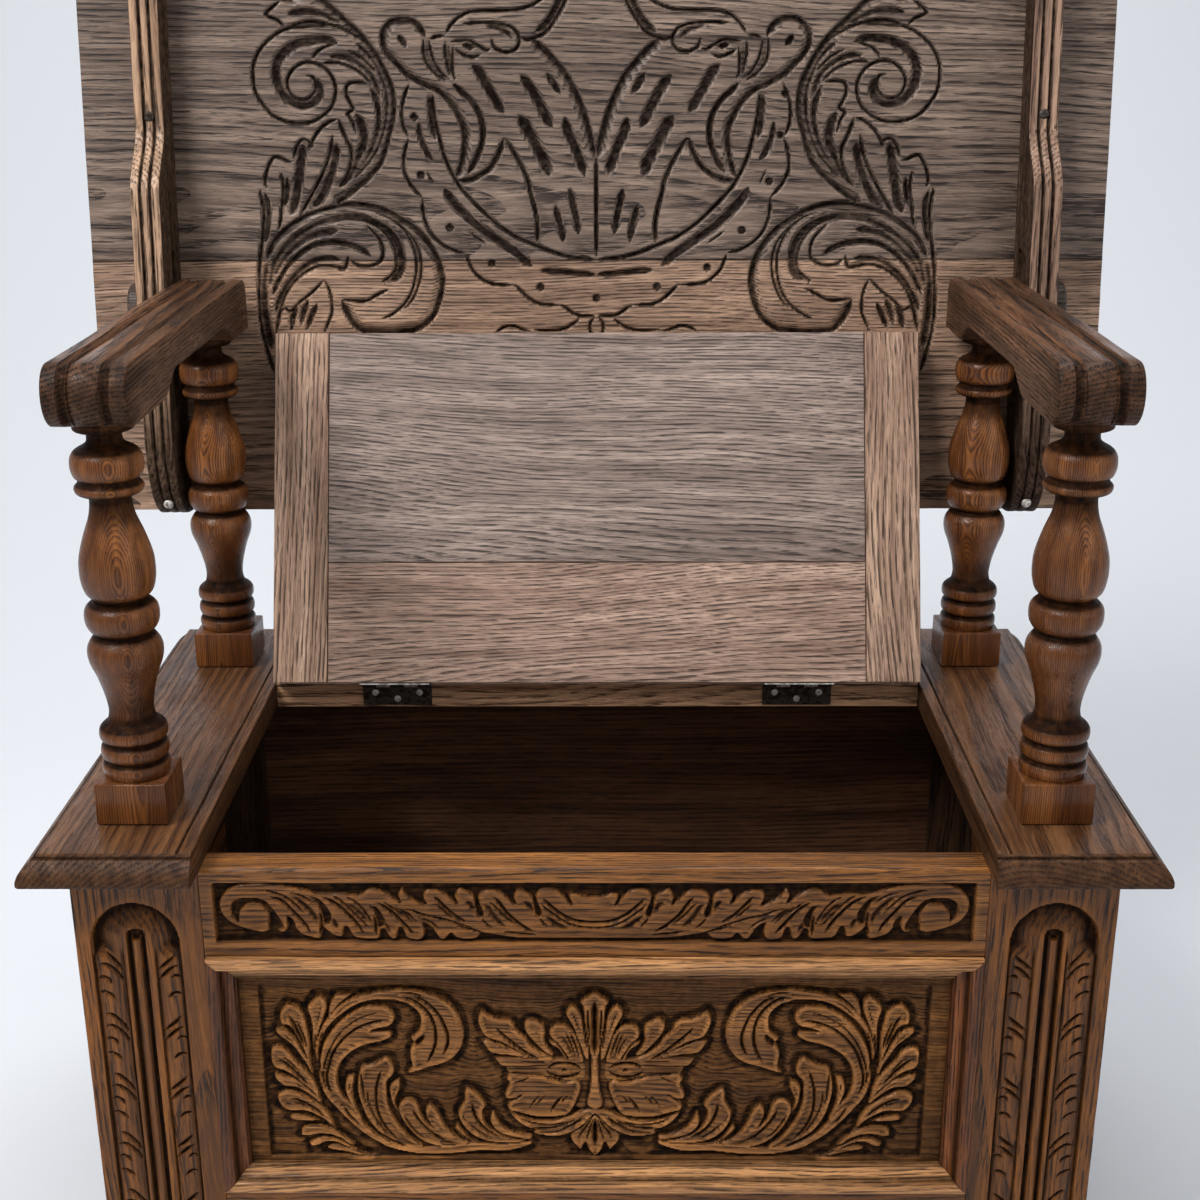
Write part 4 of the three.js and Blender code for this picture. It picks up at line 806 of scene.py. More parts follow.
# The top and bottom runs are painted much paler than the uprights, a painted sheen along them
sheen_moulding_oak = oak(
    "moulding oak", "#eeae72", "#7f5029", (60, chest_front + 90, 180), (1, 0.01, 0.02), ring=2.6, gloss=0.26,
)
upright_oak = oak(
    "upright moulding oak", "#8c4c18", "#341a08", (60, chest_front + 90, 180), (0.01, 0.02, 1), ring=2.6,
)
opening_low, opening_high, opening_half = 127.3, 337.4, 292.7
opening_middle = (opening_low + opening_high) / 2
opening_reach = opening_high - opening_middle
for word, right, up, half, reach, wood in (
    ("top", (-1, 0, 0), (0, 0, -1), opening_half, opening_reach, sheen_moulding_oak),
    ("bottom", (1, 0, 0), (0, 0, 1), opening_half, opening_reach, sheen_moulding_oak),
    ("left", (0, 0, -1), (1, 0, 0), opening_reach - 0.3, opening_half, upright_oak),
    ("right", (0, 0, 1), (-1, 0, 0), opening_reach - 0.3, opening_half, upright_oak),
):
    stations = lines(-1, 1, 12 / half)
    count = len(section)
    points = np.array([
        (share * (half - across), across - reach, out + 0.12 * math.sin(share * half / 23))
        for share in stations for across, out in section
    ])
    ring = np.arange(count)
    faces = [ring[::-1].tolist(), (ring + count * (len(stations) - 1)).tolist()]
    for row in range(len(stations) - 1):
        near = row * count + ring
        faces += joined_rings(near, near + count, turned_over=True)
    # Painted shade: a dark line in the quirk and along the hollow next to the panel
    quirk = np.tile(np.exp(-((section[:, 0] - 11) / 1.6) ** 2) + 0.8 * (section[:, 0] > 18.4), len(stations))
    points = set_in(points, right, up, (0, chest_front, opening_middle))
    piece(
        f"panel_moulding_{word}_run", points, faces, wood, "seat_frame", [f"panel_moulding_{word}"],
        "carved_oak", carved=np.clip(0.75 * quirk, 0, 0.85),
    )


# Side frames and rear stiles: plain oak rails and a flat panel each side, tenoned and grooved, with
# only their arrises worn off. Their CAD shapes are right and stay.
def worn_edges(names, material, width=1.4):
    """CAD pieces whose shape is right, with a new finish and their sharp edges taken off."""
    for name in names:
        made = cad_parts[name]
        for index in range(len(made.material_slots)):
            made.material_slots[index].material = material
        bevel = made.modifiers.new("worn edges", "BEVEL")
        bevel.width = width / 1000
        bevel.segments = 2
        bevel.limit_method = "ANGLE"
        bevel.angle_limit = math.radians(40)


side_oak = oak("side oak", "#8d5a33", "#4a2c18", (250, 0, 330), (0, 1, 0.01), gloss=0.4)
rear_oak = oak("rear stile oak", "#5d4331", "#2b1d14", (300, 420, 0), (0.01, 0, 1), gloss=0.45)
worn_edges([
    f"side_{part}_{word}" for part in ("top_rail", "bottom_rail", "panel") for word in sides
], side_oak)
worn_edges([f"rear_stile_{word}" for word in sides], rear_oak)


# The inside of the chest: back boards, a bottom on two battens, all rough boards stained with damp
# and age to a near black brown.
inside_oak = oak(
    "inside boards", "#8f6344", "#331d12", (0, 120, 640), (1, 0, 0.02), ring=5.0, gloss=0.55, figure=0.7,
    stain=0.8, cut="#120a07",
)
worn_edges([
    "back_board_lower", "back_board_upper", "chest_bottom", "bottom_batten_left", "bottom_batten_right",
], inside_oak)


# Seat caps: a thick oak board each side, moulded on its front and outer edges, with a line scratched
# along the inner edge and the rear corner cut off. The posts stand on them.
cap_section = smooth_path((
    0.2, 0.3, 0.8, 2.2, 1.4, 3.2, 3.4, 3.5, 5, 4.2, 7.6, 6.4, 10.2, 9.4, 12, 12, 13.4, 15.4, 13.9, 18,
    13.9, 20.4, 12.8, 22.4,
), 1.2)
cap_inner, cap_outer, cap_front, cap_rear, cap_top = 291.0, 403.0, -249.55, 223.45, 435.0
cap_round = 1.2
from_inner = np.array([
    cap_round, 5, 9.6, 10.2, 10.7, 11.2, 11.8, 12.4, 16, *lines(22, cap_outer - cap_inner, 9),
])
groove = np.interp(from_inner, [9.6, 11.0, 12.4], [0, 1.3, 0])
along = lines(cap_front, cap_rear - cap_round, 9)
for word, side in sides.items():
    # The grid runs from left to right, so the left cap's is turned round
    across = (side * (cap_inner + from_inner))[::side]
    depth = groove[::side] + hand_planed(across, along, 0.25, 0.22, 90, 60 + side)
    rings = []
    for out, down in cap_section:
        plain = cap_round * min(1, math.sqrt(down / 6))
        rings.append((down, out if side < 0 else plain, plain if side < 0 else out, out, plain))
    points, faces = slab(across, along, depth, rings, wear=0.25, seed=62)
    # The rear outer corner is sawn off square to the mitre
    over = np.maximum(side * points[:, 0] - cap_outer + points[:, 1] - cap_rear, 0)
    points[:, 0] -= side * over / 2
    points[:, 1] -= over / 2
    points = set_in(points, (1, 0, 0), (0, 1, 0), (0, 0, cap_top))
    cap_oak = oak(
        f"cap oak {word}", "#865b39", "#33190d", (side * 300 + 30, 20, 300), (0.015 * side, 1, 0.01),
        ring=3.6, figure=0.7,
    )
    # Painted shade: a dark line in the quirk just under the top edge and in the scratched line on top; the
    # moulded edge below the quirk is darker too
    below = cap_top - points[:, 2]
    edge_dark = np.maximum(0.5 * smoothstep(below, 3.6, 5), 0.95 * np.exp(-((below - 3.1) / 0.9) ** 2))
    edge_dark[:depth.size] = 0.8 * np.tile(groove[::side] > 0.3, len(along))
    piece(
        f"seat_cap_{word}_moulded", points, faces, cap_oak, "seat_frame", [f"seat_cap_{word}"], "dark_oak",
        carved=edge_dark,
    )


# Rear seat rail: raw oak with saw marks, tongued into the caps. The hinges are screwed to its face.
# Its colour is painted very pale, painted light for its face in the lid's shadow
rail_raw_and_lit_oak = oak("rear rail oak", "#f2c096", "#976644", (0, 300, 470), (1, 0.01, 0), ring=2.2, gloss=0.55)
worn_edges(["rear_seat_rail"], rail_raw_and_lit_oak, 0.8)


# Butt hinges: two pairs of steel leaves let in flush, knuckles rolled round a pin, bright where the
# lid's leaf has rubbed. Three countersunk screws hold each fixed leaf.
def steel(name, base, rust, rough):
    """Forged steel, rubbed by use, with a skin of rust and old oil in its hollows."""
    material, tree, shader = new_material(name)
    place = add_node(tree, "ShaderNodeTexCoord").outputs["Object"]
    patches = add_node(tree, "ShaderNodeTexNoise", {"Vector": place, "Scale": 260.0, "Detail": 6.0})
    rusty = add_node(tree, "ShaderNodeMapRange", {0: patches, 1: 0.45, 2: 0.62})
    feed(tree, shader, {
        "Base Color": add_node(tree, "ShaderNodeMix", {
            0: rusty, 6: linear(base), 7: linear(rust),
        }, data_type="RGBA").outputs[2],
        "Roughness": add_node(tree, "ShaderNodeMapRange", {
            0: patches, 1: 0.35, 2: 0.65, 3: rough, 4: rough + 0.25,
        }),
        "Metallic": 0.9,
    })
    return material


def geometry_tree(name, inputs, output):
    """An empty geometry tree with named sockets, and its inputs as its nodes are given them."""
    tree = bpy.data.node_groups.new(name, "GeometryNodeTree")
    for key, kind in inputs.items():
        tree.interface.new_socket(key, in_out="INPUT", socket_type=f"NodeSocket{kind}")
    tree.interface.new_socket(output, in_out="OUTPUT", socket_type="NodeSocketGeometry")
    return tree, add_node(tree, "NodeGroupInput").outputs


def screw_tree():
    """Geometry nodes for round-head screws: one slotted head at each point, each turned its own way."""
    tree, given = geometry_tree("slotted screws", {
        "Points": "Geometry", "Radius": "Float", "Height": "Float", "Tilt": "Float", "Seed": "Int",
        "Material": "Material",
    }, "Screws")
    radius, height = given["Radius"], given["Height"]
    ball = add_node(tree, "GeometryNodeMeshUVSphere", {"Segments": 28, "Rings": 18, "Radius": 1.0})
    size = add_node(tree, "ShaderNodeCombineXYZ", {"X": radius, "Y": radius, "Z": height})
    head = add_node(tree, "GeometryNodeTransform", {"Geometry": ball, "Scale": size})
    cutter = add_node(tree, "GeometryNodeMeshCube", {"Size": (1, 1, 1)})
    length, width = [
        add_node(tree, "ShaderNodeMath", {0: radius, 1: times}, operation="MULTIPLY") for times in (3.0, 0.26)
    ]
    slot_size = add_node(tree, "ShaderNodeCombineXYZ", {"X": length, "Y": width, "Z": height})
    slot_place = add_node(tree, "ShaderNodeCombineXYZ", {"Z": height})
    cutter = add_node(tree, "GeometryNodeTransform", {
        "Geometry": cutter, "Translation": slot_place, "Scale": slot_size,
    })
    head = add_node(tree, "GeometryNodeMeshBoolean", {"Mesh 1": head, "Mesh 2": cutter},
                    operation="DIFFERENCE", solver="EXACT")
    tipped = add_node(tree, "ShaderNodeCombineXYZ", {"X": given["Tilt"]})
    placed = add_node(tree, "GeometryNodeInstanceOnPoints", {
        "Points": given["Points"], "Instance": head, "Rotation": tipped,
    })
    spin = add_node(tree, "FunctionNodeRandomValue", {
        2: 0.0, 3: math.pi, "Seed": given["Seed"],
    }, data_type="FLOAT").outputs[1]
    spun = add_node(tree, "ShaderNodeCombineXYZ", {"Z": spin})
    placed = add_node(tree, "GeometryNodeRotateInstances", {
        "Instances": placed, "Rotation": spun, "Local Space": True,
    })
    made = add_node(tree, "GeometryNodeRealizeInstances", {"Geometry": placed})
    made = add_node(tree, "GeometryNodeSetMaterial", {"Geometry": made, "Material": given["Material"]})
    add_node(tree, "NodeGroupOutput", {"Screws": made})
    return tree


def grown_mesh(name, tree, seed_mesh, settings):
    """The mesh that a geometry tree makes from a seed mesh, with its named inputs set first."""
    seed_object = add_object(name, seed_mesh)
    modifier = seed_object.modifiers.new(name, "NODES")
    modifier.node_group = tree
    inputs = {item.name: item.identifier for item in tree.interface.items_tree if item.in_out == "INPUT"}
    for key, value in settings.items():
        modifier[inputs[key]] = value
    seed_object.update_tag()
    ready = seed_object.evaluated_get(bpy.context.evaluated_depsgraph_get())
    mesh = bpy.data.meshes.new_from_object(ready)
    mesh.materials.clear()
    mesh.materials.append(settings["Material"])
    mesh.polygons.foreach_set("material_index", [0] * len(mesh.polygons))
    bpy.data.objects.remove(seed_object)
    return mesh


slotted_screws = screw_tree()


def screws(name, places, radius, height, tilt, material, body, nodes, seed):
    """Slotted round heads at places in millimetres, their axes tilted back from straight up."""
    spots = bpy.data.meshes.new(name)
    spots.from_pydata((np.array(places, dtype=float) / 1000).tolist(), [], [])
    mesh = grown_mesh(name, slotted_screws, spots, {
        "Radius": radius / 1000, "Height": height / 1000, "Tilt": tilt, "Seed": seed, "Material": material,
    })
    put_in(name, mesh, body, nodes, sharp=35)


leaf_steel = steel("rubbed steel", "#f0ece6", "#b0a69c", 0.5)
dark_steel = steel("dark steel", "#5d5650", "#33261f", 0.38)
for part, metal in (("leaf_fixed", dark_steel), ("leaf_lid", leaf_steel), ("pin", leaf_steel)):
    worn_edges([f"hinge_{part}_{word}" for word in sides], metal, 0.2)
hinge_axis = (0, 78.448, 434)
hinge_middle, leaf_face = 181, 78.65
hinge_screw_places = [
    (side * hinge_middle + along, leaf_face, hinge_axis[2] - drop)
    for side in sides.values() for along, drop in ((-20, 8), (0, 14), (20, 8))
]
screws(
    "hinge_screws_slotted", hinge_screw_places, 3.0, 0.2, math.pi / 2, leaf_steel, "seat_frame",
    [f"hinge_screw_{word}_{number}" for word in sides for number in (1, 2, 3)], 4,
)


# The lid: two oak boards edge to edge between two cleats that keep them flat, all 22 mm thick. It
# stands open and leans on the back, so its underside shows.
lid_turn = math.radians(-111.24)
lid_back = np.array([0, math.cos(lid_turn), math.sin(lid_turn)])
lid_out = np.array([0, math.sin(lid_turn), -math.cos(lid_turn)])
lid_thickness, lid_half, cleat_width, joint = 22.0, 289.5, 49.0, 0.3
lid_front, lid_seam, lid_rear = -316.55, -109.55, -1.55
board_half = lid_half - cleat_width


def lid_board(part, x_from, x_to, y_from, y_to, material, seed):
    """One board of the lid, its underside as the face of the slab."""
    across = lines(x_from + edge_round, x_to - edge_round, 9)
    along = lines(-y_to + edge_round, -y_from - edge_round, 9)
    depth = hand_planed(across, along, 0.25, 0.22, 120, seed)
    points, faces = slab(across, along, depth, rounding(edge_round, lid_thickness), seed=seed)
    points = set_in(points, (1, 0, 0), -lid_back, np.array(hinge_axis) + lid_thickness * lid_out)
    piece(f"lid_{part}_worn", points, faces, material, "lid", [f"lid_{part}"], "top_oak")


for word, light, dark, heart, grain, front, rear, seed in (
    ("front", "#c6aea0", "#726057", (0, 400, 330), (1, 0.02, -0.03), lid_front, lid_seam, 11),
    ("rear", "#debba5", "#886858", (60, 330, 240), (1, -0.02, 0.02), lid_seam + joint, lid_rear, 12),
):
    lid_oak = oak(f"lid oak {word} board", light, dark, heart, grain, ring=1.8, gloss=0.32)
    lid_board(f"board_{word}", -board_half, board_half, front, rear, lid_oak, seed)
for word, side in sides.items():
    cleat_oak = oak(
        f"cleat oak {word}", "#e6c0a4", "#83604c", (side * 420, 330, 560),
        tuple(lid_back + [0.02 * side, 0, 0]), ring=2.6, gloss=0.33,
    )
    edges = sorted((side * (board_half + joint), side * lid_half))
    lid_board(f"cleat_{word}", *edges, lid_front, lid_rear, cleat_oak, 14 + side)


# Posts: each is one piece of oak, square at the foot and turned above it on a lathe. A dowel at
# each end goes into the cap below and the arm above.
def turning_tree():
    """Geometry nodes for lathe work: a profile in the XZ plane is turned about the Z axis."""
    tree, given = geometry_tree("turning", {
        "Profile": "Geometry", "Sides": "Int", "Rows": "Int", "Material": "Material",
    }, "Turned")
    curve = add_node(tree, "GeometryNodeMeshToCurve", {"Mesh": given["Profile"]})
    grid = add_node(tree, "GeometryNodeMeshGrid", {
        "Size X": 1.0, "Size Y": 1.0, "Vertices X": given["Sides"], "Vertices Y": given["Rows"],
    })
    where = add_node(tree, "ShaderNodeSeparateXYZ", {0: add_node(tree, "GeometryNodeInputPosition")}).outputs
    turn = add_node(tree, "ShaderNodeMapRange", {0: where["X"], 1: -0.5, 2: 0.5, 3: 0.0, 4: math.tau})
    share = add_node(tree, "ShaderNodeMath", {0: where["Y"], 1: 0.5}, operation="ADD", use_clamp=True)
    sample = add_node(tree, "GeometryNodeSampleCurve", {"Curves": curve, "Factor": share}, mode="FACTOR")
    spot = add_node(tree, "ShaderNodeSeparateXYZ", {0: sample.outputs["Position"]}).outputs
    reach = {"Z": spot["Z"]}
    for key, operation in (("X", "COSINE"), ("Y", "SINE")):
        swing = add_node(tree, "ShaderNodeMath", {0: turn}, operation=operation)
        reach[key] = add_node(tree, "ShaderNodeMath", {0: swing, 1: spot["X"]}, operation="MULTIPLY")
    moved = add_node(tree, "ShaderNodeCombineXYZ", reach)
    skin = add_node(tree, "GeometryNodeSetPosition", {"Geometry": grid, "Position": moved})
    skin = add_node(tree, "GeometryNodeMergeByDistance", {"Geometry": skin, "Distance": 0.00002})
    skin = add_node(tree, "GeometryNodeSetShadeSmooth", {"Geometry": skin})
    skin = add_node(tree, "GeometryNodeRealizeInstances", {"Geometry": skin})
    skin = add_node(tree, "GeometryNodeSetMaterial", {"Geometry": skin, "Material": given["Material"]})
    add_node(tree, "NodeGroupOutput", {"Turned": skin})
    return tree


turning = turning_tree()


def turned(name, profile, material, around=56, step=1.2):
    """Lathe work from a path of radius and height: its points about the Z axis, and its faces."""
    path = np.maximum(profile, 0)
    line = bpy.data.meshes.new(name)
    spots = np.column_stack([path[:, 0], np.zeros(len(path)), path[:, 1]]) / 1000
    line.from_pydata(spots.tolist(), [(k, k + 1) for k in range(len(path) - 1)], [])
    length = np.linalg.norm(np.diff(path, axis=0), axis=1).sum()
    mesh = grown_mesh(name, turning, line, {
        "Sides": around + 1, "Rows": int(length / step), "Material": material,
    })
    spots = np.zeros(len(mesh.vertices) * 3)
    mesh.vertices.foreach_get("co", spots)
    return spots.reshape(-1, 3) * 1000, [list(face.vertices) for face in mesh.polygons]


post_profile = [
    (0, 466), (20, 466.4), (23.6, 468.2), (24.7, 471), (25.3, 474.5), (24.8, 477.6), (22.9, 479.4),
    (21.6, 480.4), (21.8, 481.8), (24.3, 483.6), (25.2, 488), (24.3, 492.2), (22, 494.2), (21.6, 495.6),
    (22.6, 497), (24.7, 498.6), (25.2, 502), (24.6, 505.8), (22, 508.8), (18.4, 511.6), (16.9, 516),
    (16.5, 522), (18.2, 533), (22.4, 548), (26.2, 558), (27.5, 565.5), (26.6, 572), (23.2, 577.6),
    (20.8, 579.6), (20.6, 581.2), (23.4, 583.2), (26.3, 588.5), (27, 595), (26, 600.4), (22.8, 604),
    (19.6, 605.6), (19.6, 607.2), (24.2, 612.6), (26.4, 620), (27.1, 629), (26.2, 640), (21.6, 656),
    (16.8, 669), (15.1, 678), (15.2, 683.4), (17.6, 685.6), (22.6, 686.8), (24.5, 689.4), (24.4, 692),
    (22.4, 694), (21.6, 695.6), (21.8, 697.4), (24, 699.4), (25.6, 704), (25.9, 709), (25.2, 713.6),
    (22.2, 718), (16.4, 721.4), (13.2, 724), (12.5, 728), (13.4, 730.8), (18.6, 732), (21.4, 733.4),
    (21.6, 736), (20.8, 738.8), (11, 739.4), (0, 739.4),
]
# Heights and widths of the deepest quirks
quirks = (
    (480.8, 1.5), (495.4, 1.5), (510, 2.4), (580.4, 1.8), (606.4, 1.9), (684.6, 2), (695.8, 1.7), (722.5, 3),
    (730.6, 2),
)
post_middle = 345.0
block_half, block_low, block_high = 26.5, 435.3, 468.3
for line_word, y, numbers in (("front", -179.552, (0, 1)), ("rear", 144.448, (2, 3))):
    for (word, side), number in zip(sides.items(), numbers):
        x = side * post_middle
        post_oak = oak(
            f"{line_word} post oak {word}", "#ae6c37", "#46230e",
            (x + 9 - 5 * number, y - 34 + 6 * number, 600), (0.03, 0.02, 1),
            ring=1.7, gloss=0.23, figure=0.45, ringed=0.42, stain=0.8,
        )
        name = f"{line_word}_post_{word}"
        spots, faces = turned(f"{name}_turned", smooth_path(post_profile, 1.0), post_oak)
        spots = spots + (x, y, 0)
        radius = np.hypot(spots[:, 0] - x, spots[:, 1] - y)
        # Painted shade darkens the quirks between the beads and the necks, over old black polish, and leaves
        # only the crests of the beads brown
        up = spots[:, 2]
        beads = (
            1 - smoothstep(up, 514, 520) + smoothstep(up, 573, 581) * (1 - smoothstep(up, 606, 614))
            + smoothstep(up, 680, 686)
        )
        hollows = beads * smoothstep(-radius, -25.6, -21) + (1 - beads) * smoothstep(-radius, -20.5, -15)
        dark = 0.72 * hollows
        dark += sum(0.95 * np.exp(-((up - height) / wide / 1.7) ** 2) for height, wide in quirks)
        grid = lines(-block_half + edge_round, block_half - edge_round, 6)
        rings = rounding(edge_round, block_high - block_low)
        block, block_faces = slab(grid, grid, 0.0, rings, seed=30 + number)
        block = set_in(block, (1, 0, 0), (0, 1, 0), (x, y, block_high))
        faces += [[corner + len(spots) for corner in face] for face in block_faces]
        piece(
            f"{name}_turned", np.vstack([spots, block]), faces, post_oak, "seat_frame", [name], "turned_oak",
            carved=np.clip(dark, 0, 0.92),
        )


# Arms: shaped from thick oak. Three bands, with a cove between each, run along the top and down the
# round front end. The underside is thick over the posts and thinner between them.
def arc(middle, radius, start, end, steps):
    """Points of an arc or part of an ellipse, by angles in degrees."""
    angles = np.radians(np.linspace(start, end, steps + 1))
    return np.column_stack([middle[0] + radius[0] * np.cos(angles), middle[1] + radius[1] * np.sin(angles)])


def ogee(start, end, steps=10):
    """Points of a double curve that leaves start and reaches end level."""
    share = np.linspace(0, 1, steps + 1)
    rise = (1 - np.cos(math.pi * share)) / 2
    return np.column_stack([start[0] + (end[0] - start[0]) * share, start[1] + (end[1] - start[1]) * rise])


def evened(runs, longest=14):
    """A closed outline from its runs of points, with each long straight run divided."""
    outline = np.vstack(runs)
    return np.vstack([
        np.linspace(a, b, max(1, math.ceil(math.dist(a, b) / longest)) + 1)[:-1]
        for a, b in zip(outline, np.roll(outline, -1, axis=0))
    ])


def banded(outline, shaped, columns, edges, section, hole=None):
    """A solid whose side outline runs across it in columns, moved in by an edge round and a section.

    Points have the column first and the outline's two coordinates after; the outline runs
    anticlockwise. shaped is 1 where the section is cut. A hole goes straight through.
    """
    steps = [np.roll(outline, -1, axis=0) - outline, outline - np.roll(outline, 1, axis=0)]
    ahead, behind = [step / np.maximum(np.linalg.norm(step, axis=1, keepdims=True), 1e-9) for step in steps]
    run = ahead + behind
    run /= np.maximum(np.linalg.norm(run, axis=1, keepdims=True), 1e-9)
    inward = np.column_stack([-run[:, 1], run[:, 0]])
    count = len(outline)
    points = np.vstack([
        np.column_stack([np.full(count, x), outline + inward * (edge + cut * shaped)[:, None]])
        for x, edge, cut in zip(columns, edges, section)
    ])
    ring = np.arange(count)
    faces = []
    for column in range(len(columns) - 1):
        near = column * count + ring
        faces += joined_rings(near, near + count)
    last = (len(columns) - 1) * count
    if hole is None:
        return points, faces + [ring[::-1].tolist(), (last + ring).tolist()]
    start, size = len(points), len(hole)
    points = np.vstack([
        points, *[np.column_stack([np.full(size, x), hole]) for x in (columns[0], columns[-1])],
    ])
    inner = start + np.arange(size)
    faces += joined_rings(inner, inner + size, turned_over=True)
    for offset, hole_offset, flip in ((0, start, True), (last, start + size, False)):
        numbers = np.concatenate([offset + ring, hole_offset + np.arange(size)])
        loops = points[offset:offset + count], points[hole_offset:hole_offset + size]
        for corners in tessellate_polygon([[Vector((*p[1:], 0)) for p in loop] for loop in loops]):
            a, b, c = [points[numbers[corner], 1:] for corner in corners]
            turned_left = (b[0] - a[0]) * (c[1] - a[1]) - (b[1] - a[1]) * (c[0] - a[0]) > 0
            triangle = [int(numbers[corner]) for corner in corners]
            faces.append(triangle if turned_left != flip else triangle[::-1])
    return points, faces


arm_top, arm_under, arm_thin = 785.0, 739.5, 756.0
arm_rear, arm_nose = 184.448, -201.552
nose_middle, nose_radius = (arm_top + arm_under) / 2, (19, (arm_top - arm_under) / 2)
arm_outline = evened([
    [(arm_rear, arm_under)],
    arc((arm_rear - 10, arm_top - 10), (10, 10), 0, 90, 6),
    arc((arm_nose, nose_middle), nose_radius, 90, 262, 28),
    ogee((-119, arm_under), (-77, arm_thin)),
    ogee((85, arm_thin), (126, arm_under)),
])
# The bands are cut along the top and down the nose, and die out under it
along, up = arm_outline.T
banded_there = (up > arm_top - 12) | (along < arm_nose + 1)
arm_shaped = np.where(banded_there, 1.0, 0.0) * smoothstep(up, arm_under - 0.5, arm_under + 5)
arm_columns = both_ways(np.array([
    0, 3, 6, 8.5, 9.8, 10.6, 11, 11.5, 12.2, 13, 14, 15, 16, 17, 17.8, 18.3, 18.7, 19.2, 21, 24, 26.4, 27.6,
    28.3, 28.9, 29.3, 29.5,
]))
reach = np.abs(arm_columns)
arm_round, cove_deep, cove_middle, cove_half, band_half = 2.2, 3.0, 14.8, 3.9, 11
arm_edges = arm_round * (1 - np.sqrt(1 - np.clip((reach - 27.3) / arm_round, 0, 1) ** 2 * 0.98))
cove = cove_deep * np.clip(1 - ((reach - cove_middle) / cove_half) ** 2, 0, 1)
middle_band = np.where(reach < band_half, 1.8 * (reach / band_half) ** 2.5, 0)
arm_section = cove + middle_band + 0.5 * np.clip((reach - 18.7) / 10.8, 0, 1) ** 2
# Handled tops are rubbed brown; the coves are painted darker, painted shade, and the round end below it is
# darker still
arm_dark = np.outer(0.42 * smoothstep(cove, 0.2, 3), arm_shaped)
arm_dark = np.clip(arm_dark + 0.5 * smoothstep(-along, -arm_nose - 8, -arm_nose + 8), 0, 0.85)
for word, side in sides.items():
    points, faces = banded(arm_outline, arm_shaped, arm_columns, arm_edges, arm_section)
    points[:, 2] -= 0.25 * (1 + ripple(points[:, 0], points[:, 1], size=80, seed=70 + side))
    points[:, 0] += side * post_middle
    arm_oak = oak(
        f"arm oak {word}", "#8f6244", "#291910", (side * post_middle + 40, 0, 590), (0.02 * side, 1, 0.015),
        ring=3.4, stain=0.6,
    )
    piece(
        f"arm_{word}_banded", points, faces, arm_oak, "seat_frame", [f"arm_{word}"], "dark_oak",
        carved=arm_dark,
    )


# The back, which is the table top: three thick oak boards edge to edge, leaning back by 7 degrees and
# carved on the face that shows. Each half has a horned beast whose neck runs down to the middle, a
# scalloped crescent and leafy scrolls, set in millimetres from the middle and up from the foot.
beast_cuts = [
    ("V", 1.8, 1.8, 2.6, [
        (133, 421, 127, 430, 120, 436, 111, 440, 100, 441, 85, 441, 70, 442, 58, 445, 49, 450, 42, 457,
        34, 464, 26, 470), (118, 430, 100, 431, 85, 430, 74, 427, 68, 420, 68, 413, 72, 408, 80, 406,
        88, 409, 91, 413, 92, 419), (128, 415, 120, 416, 112, 416, 106, 413, 101, 410, 96, 408, 92, 410),
        (126, 410, 117, 404, 108, 402, 101, 405), (152, 418, 152, 405, 149, 396, 141, 387, 131, 381),
        (147, 417, 146, 408, 143, 398, 137, 389, 129, 383), (147, 417, 142, 419, 137, 420, 133, 421),
        (133, 416, 133, 405, 131, 394, 129, 384), (126, 411, 127, 400, 127, 390, 124, 382), (47, 433,
        43, 432, 40, 430),
    ]),
    ("V", 2.6, 2.2, 3.0, [
        (69, 420, 60, 417, 48, 421, 41, 427, 36, 434, 31, 442, 27, 450, 25, 459, 26, 470),
    ]),
    ("U", 3.4, 3.4, 2.6, [(54, 422, 44, 430, 37, 440, 32, 450, 29, 462)]),
    ("V", 2.0, 6.0, 2.8, [
        (150, 418, 152, 424, 156, 430, 163, 434, 171, 435, 180, 433, 187, 426, 189, 418, 188, 410, 183, 402,
        176, 395, 168, 387, 160, 382, 150, 377, 141, 373, 134, 367, 128, 360, 123, 351, 119, 342, 118, 333,
        119, 322, 121, 312, 124, 303, 126, 297),
    ]),
    ("U", 2.6, 2.6, 3.0, [
        (174, 421, 171, 416, 167, 411), (118, 413, 112, 411, 107, 410), (127, 380, 120, 373, 112, 366,
        106, 358, 102, 348, 101, 338, 102, 328, 106, 318, 110, 310, 116, 301),
    ]),
    ("U", 3.0, 3.0, 1.5, [
        (149, 417, 149, 405, 146, 397, 139, 388, 130, 382), (130, 413, 130, 400, 129, 392, 126, 383),
        (100, 429, 90, 428, 80, 424, 73, 417),
    ]),
    ("V", 3.0, 3.0, 2.8, [
        (126, 296, 118, 296, 110, 298, 102, 302, 95, 307, 90, 314, 86, 322, 83, 330, 82, 334),
    ]),
    ("V", 2.5, 2.5, 2.8, [
        (82, 334, 78, 328, 72, 318, 66, 307, 61, 295, 59, 285, 55, 270, 53, 258, 53, 248, 54, 240),
    ]),
    ("V", 7.0, 2.0, 2.8, [
        (58, 419, 47, 411, 36, 400, 26, 388, 18, 374, 11, 358, 6, 342, 2, 326, 0, 315),
    ]),
    ("V", 2.0, 2.0, 2.6, [(0, 316, 0, 229)]),
    ("U", 4.6, 4.6, 2.2, [
        (110, 396, 103, 389, 96, 377, 89, 365, 82, 354), (67, 387, 58, 376, 50, 362, 44, 350, 39, 341),
        (28, 351, 25, 338, 19, 325, 14, 312, 10, 300),
    ]),
    ("U", 5.5, 5.5, 2.2, [(69, 353, 62, 342, 54, 327, 46, 312, 42, 299)]),
    ("U", 3.4, 3.4, 2.0, [
        (44, 389, 38, 380, 31, 370), (24, 290, 21, 275, 18, 262, 16, 248), (37, 275, 34, 262, 31, 250,
        30, 241),
    ]),
]
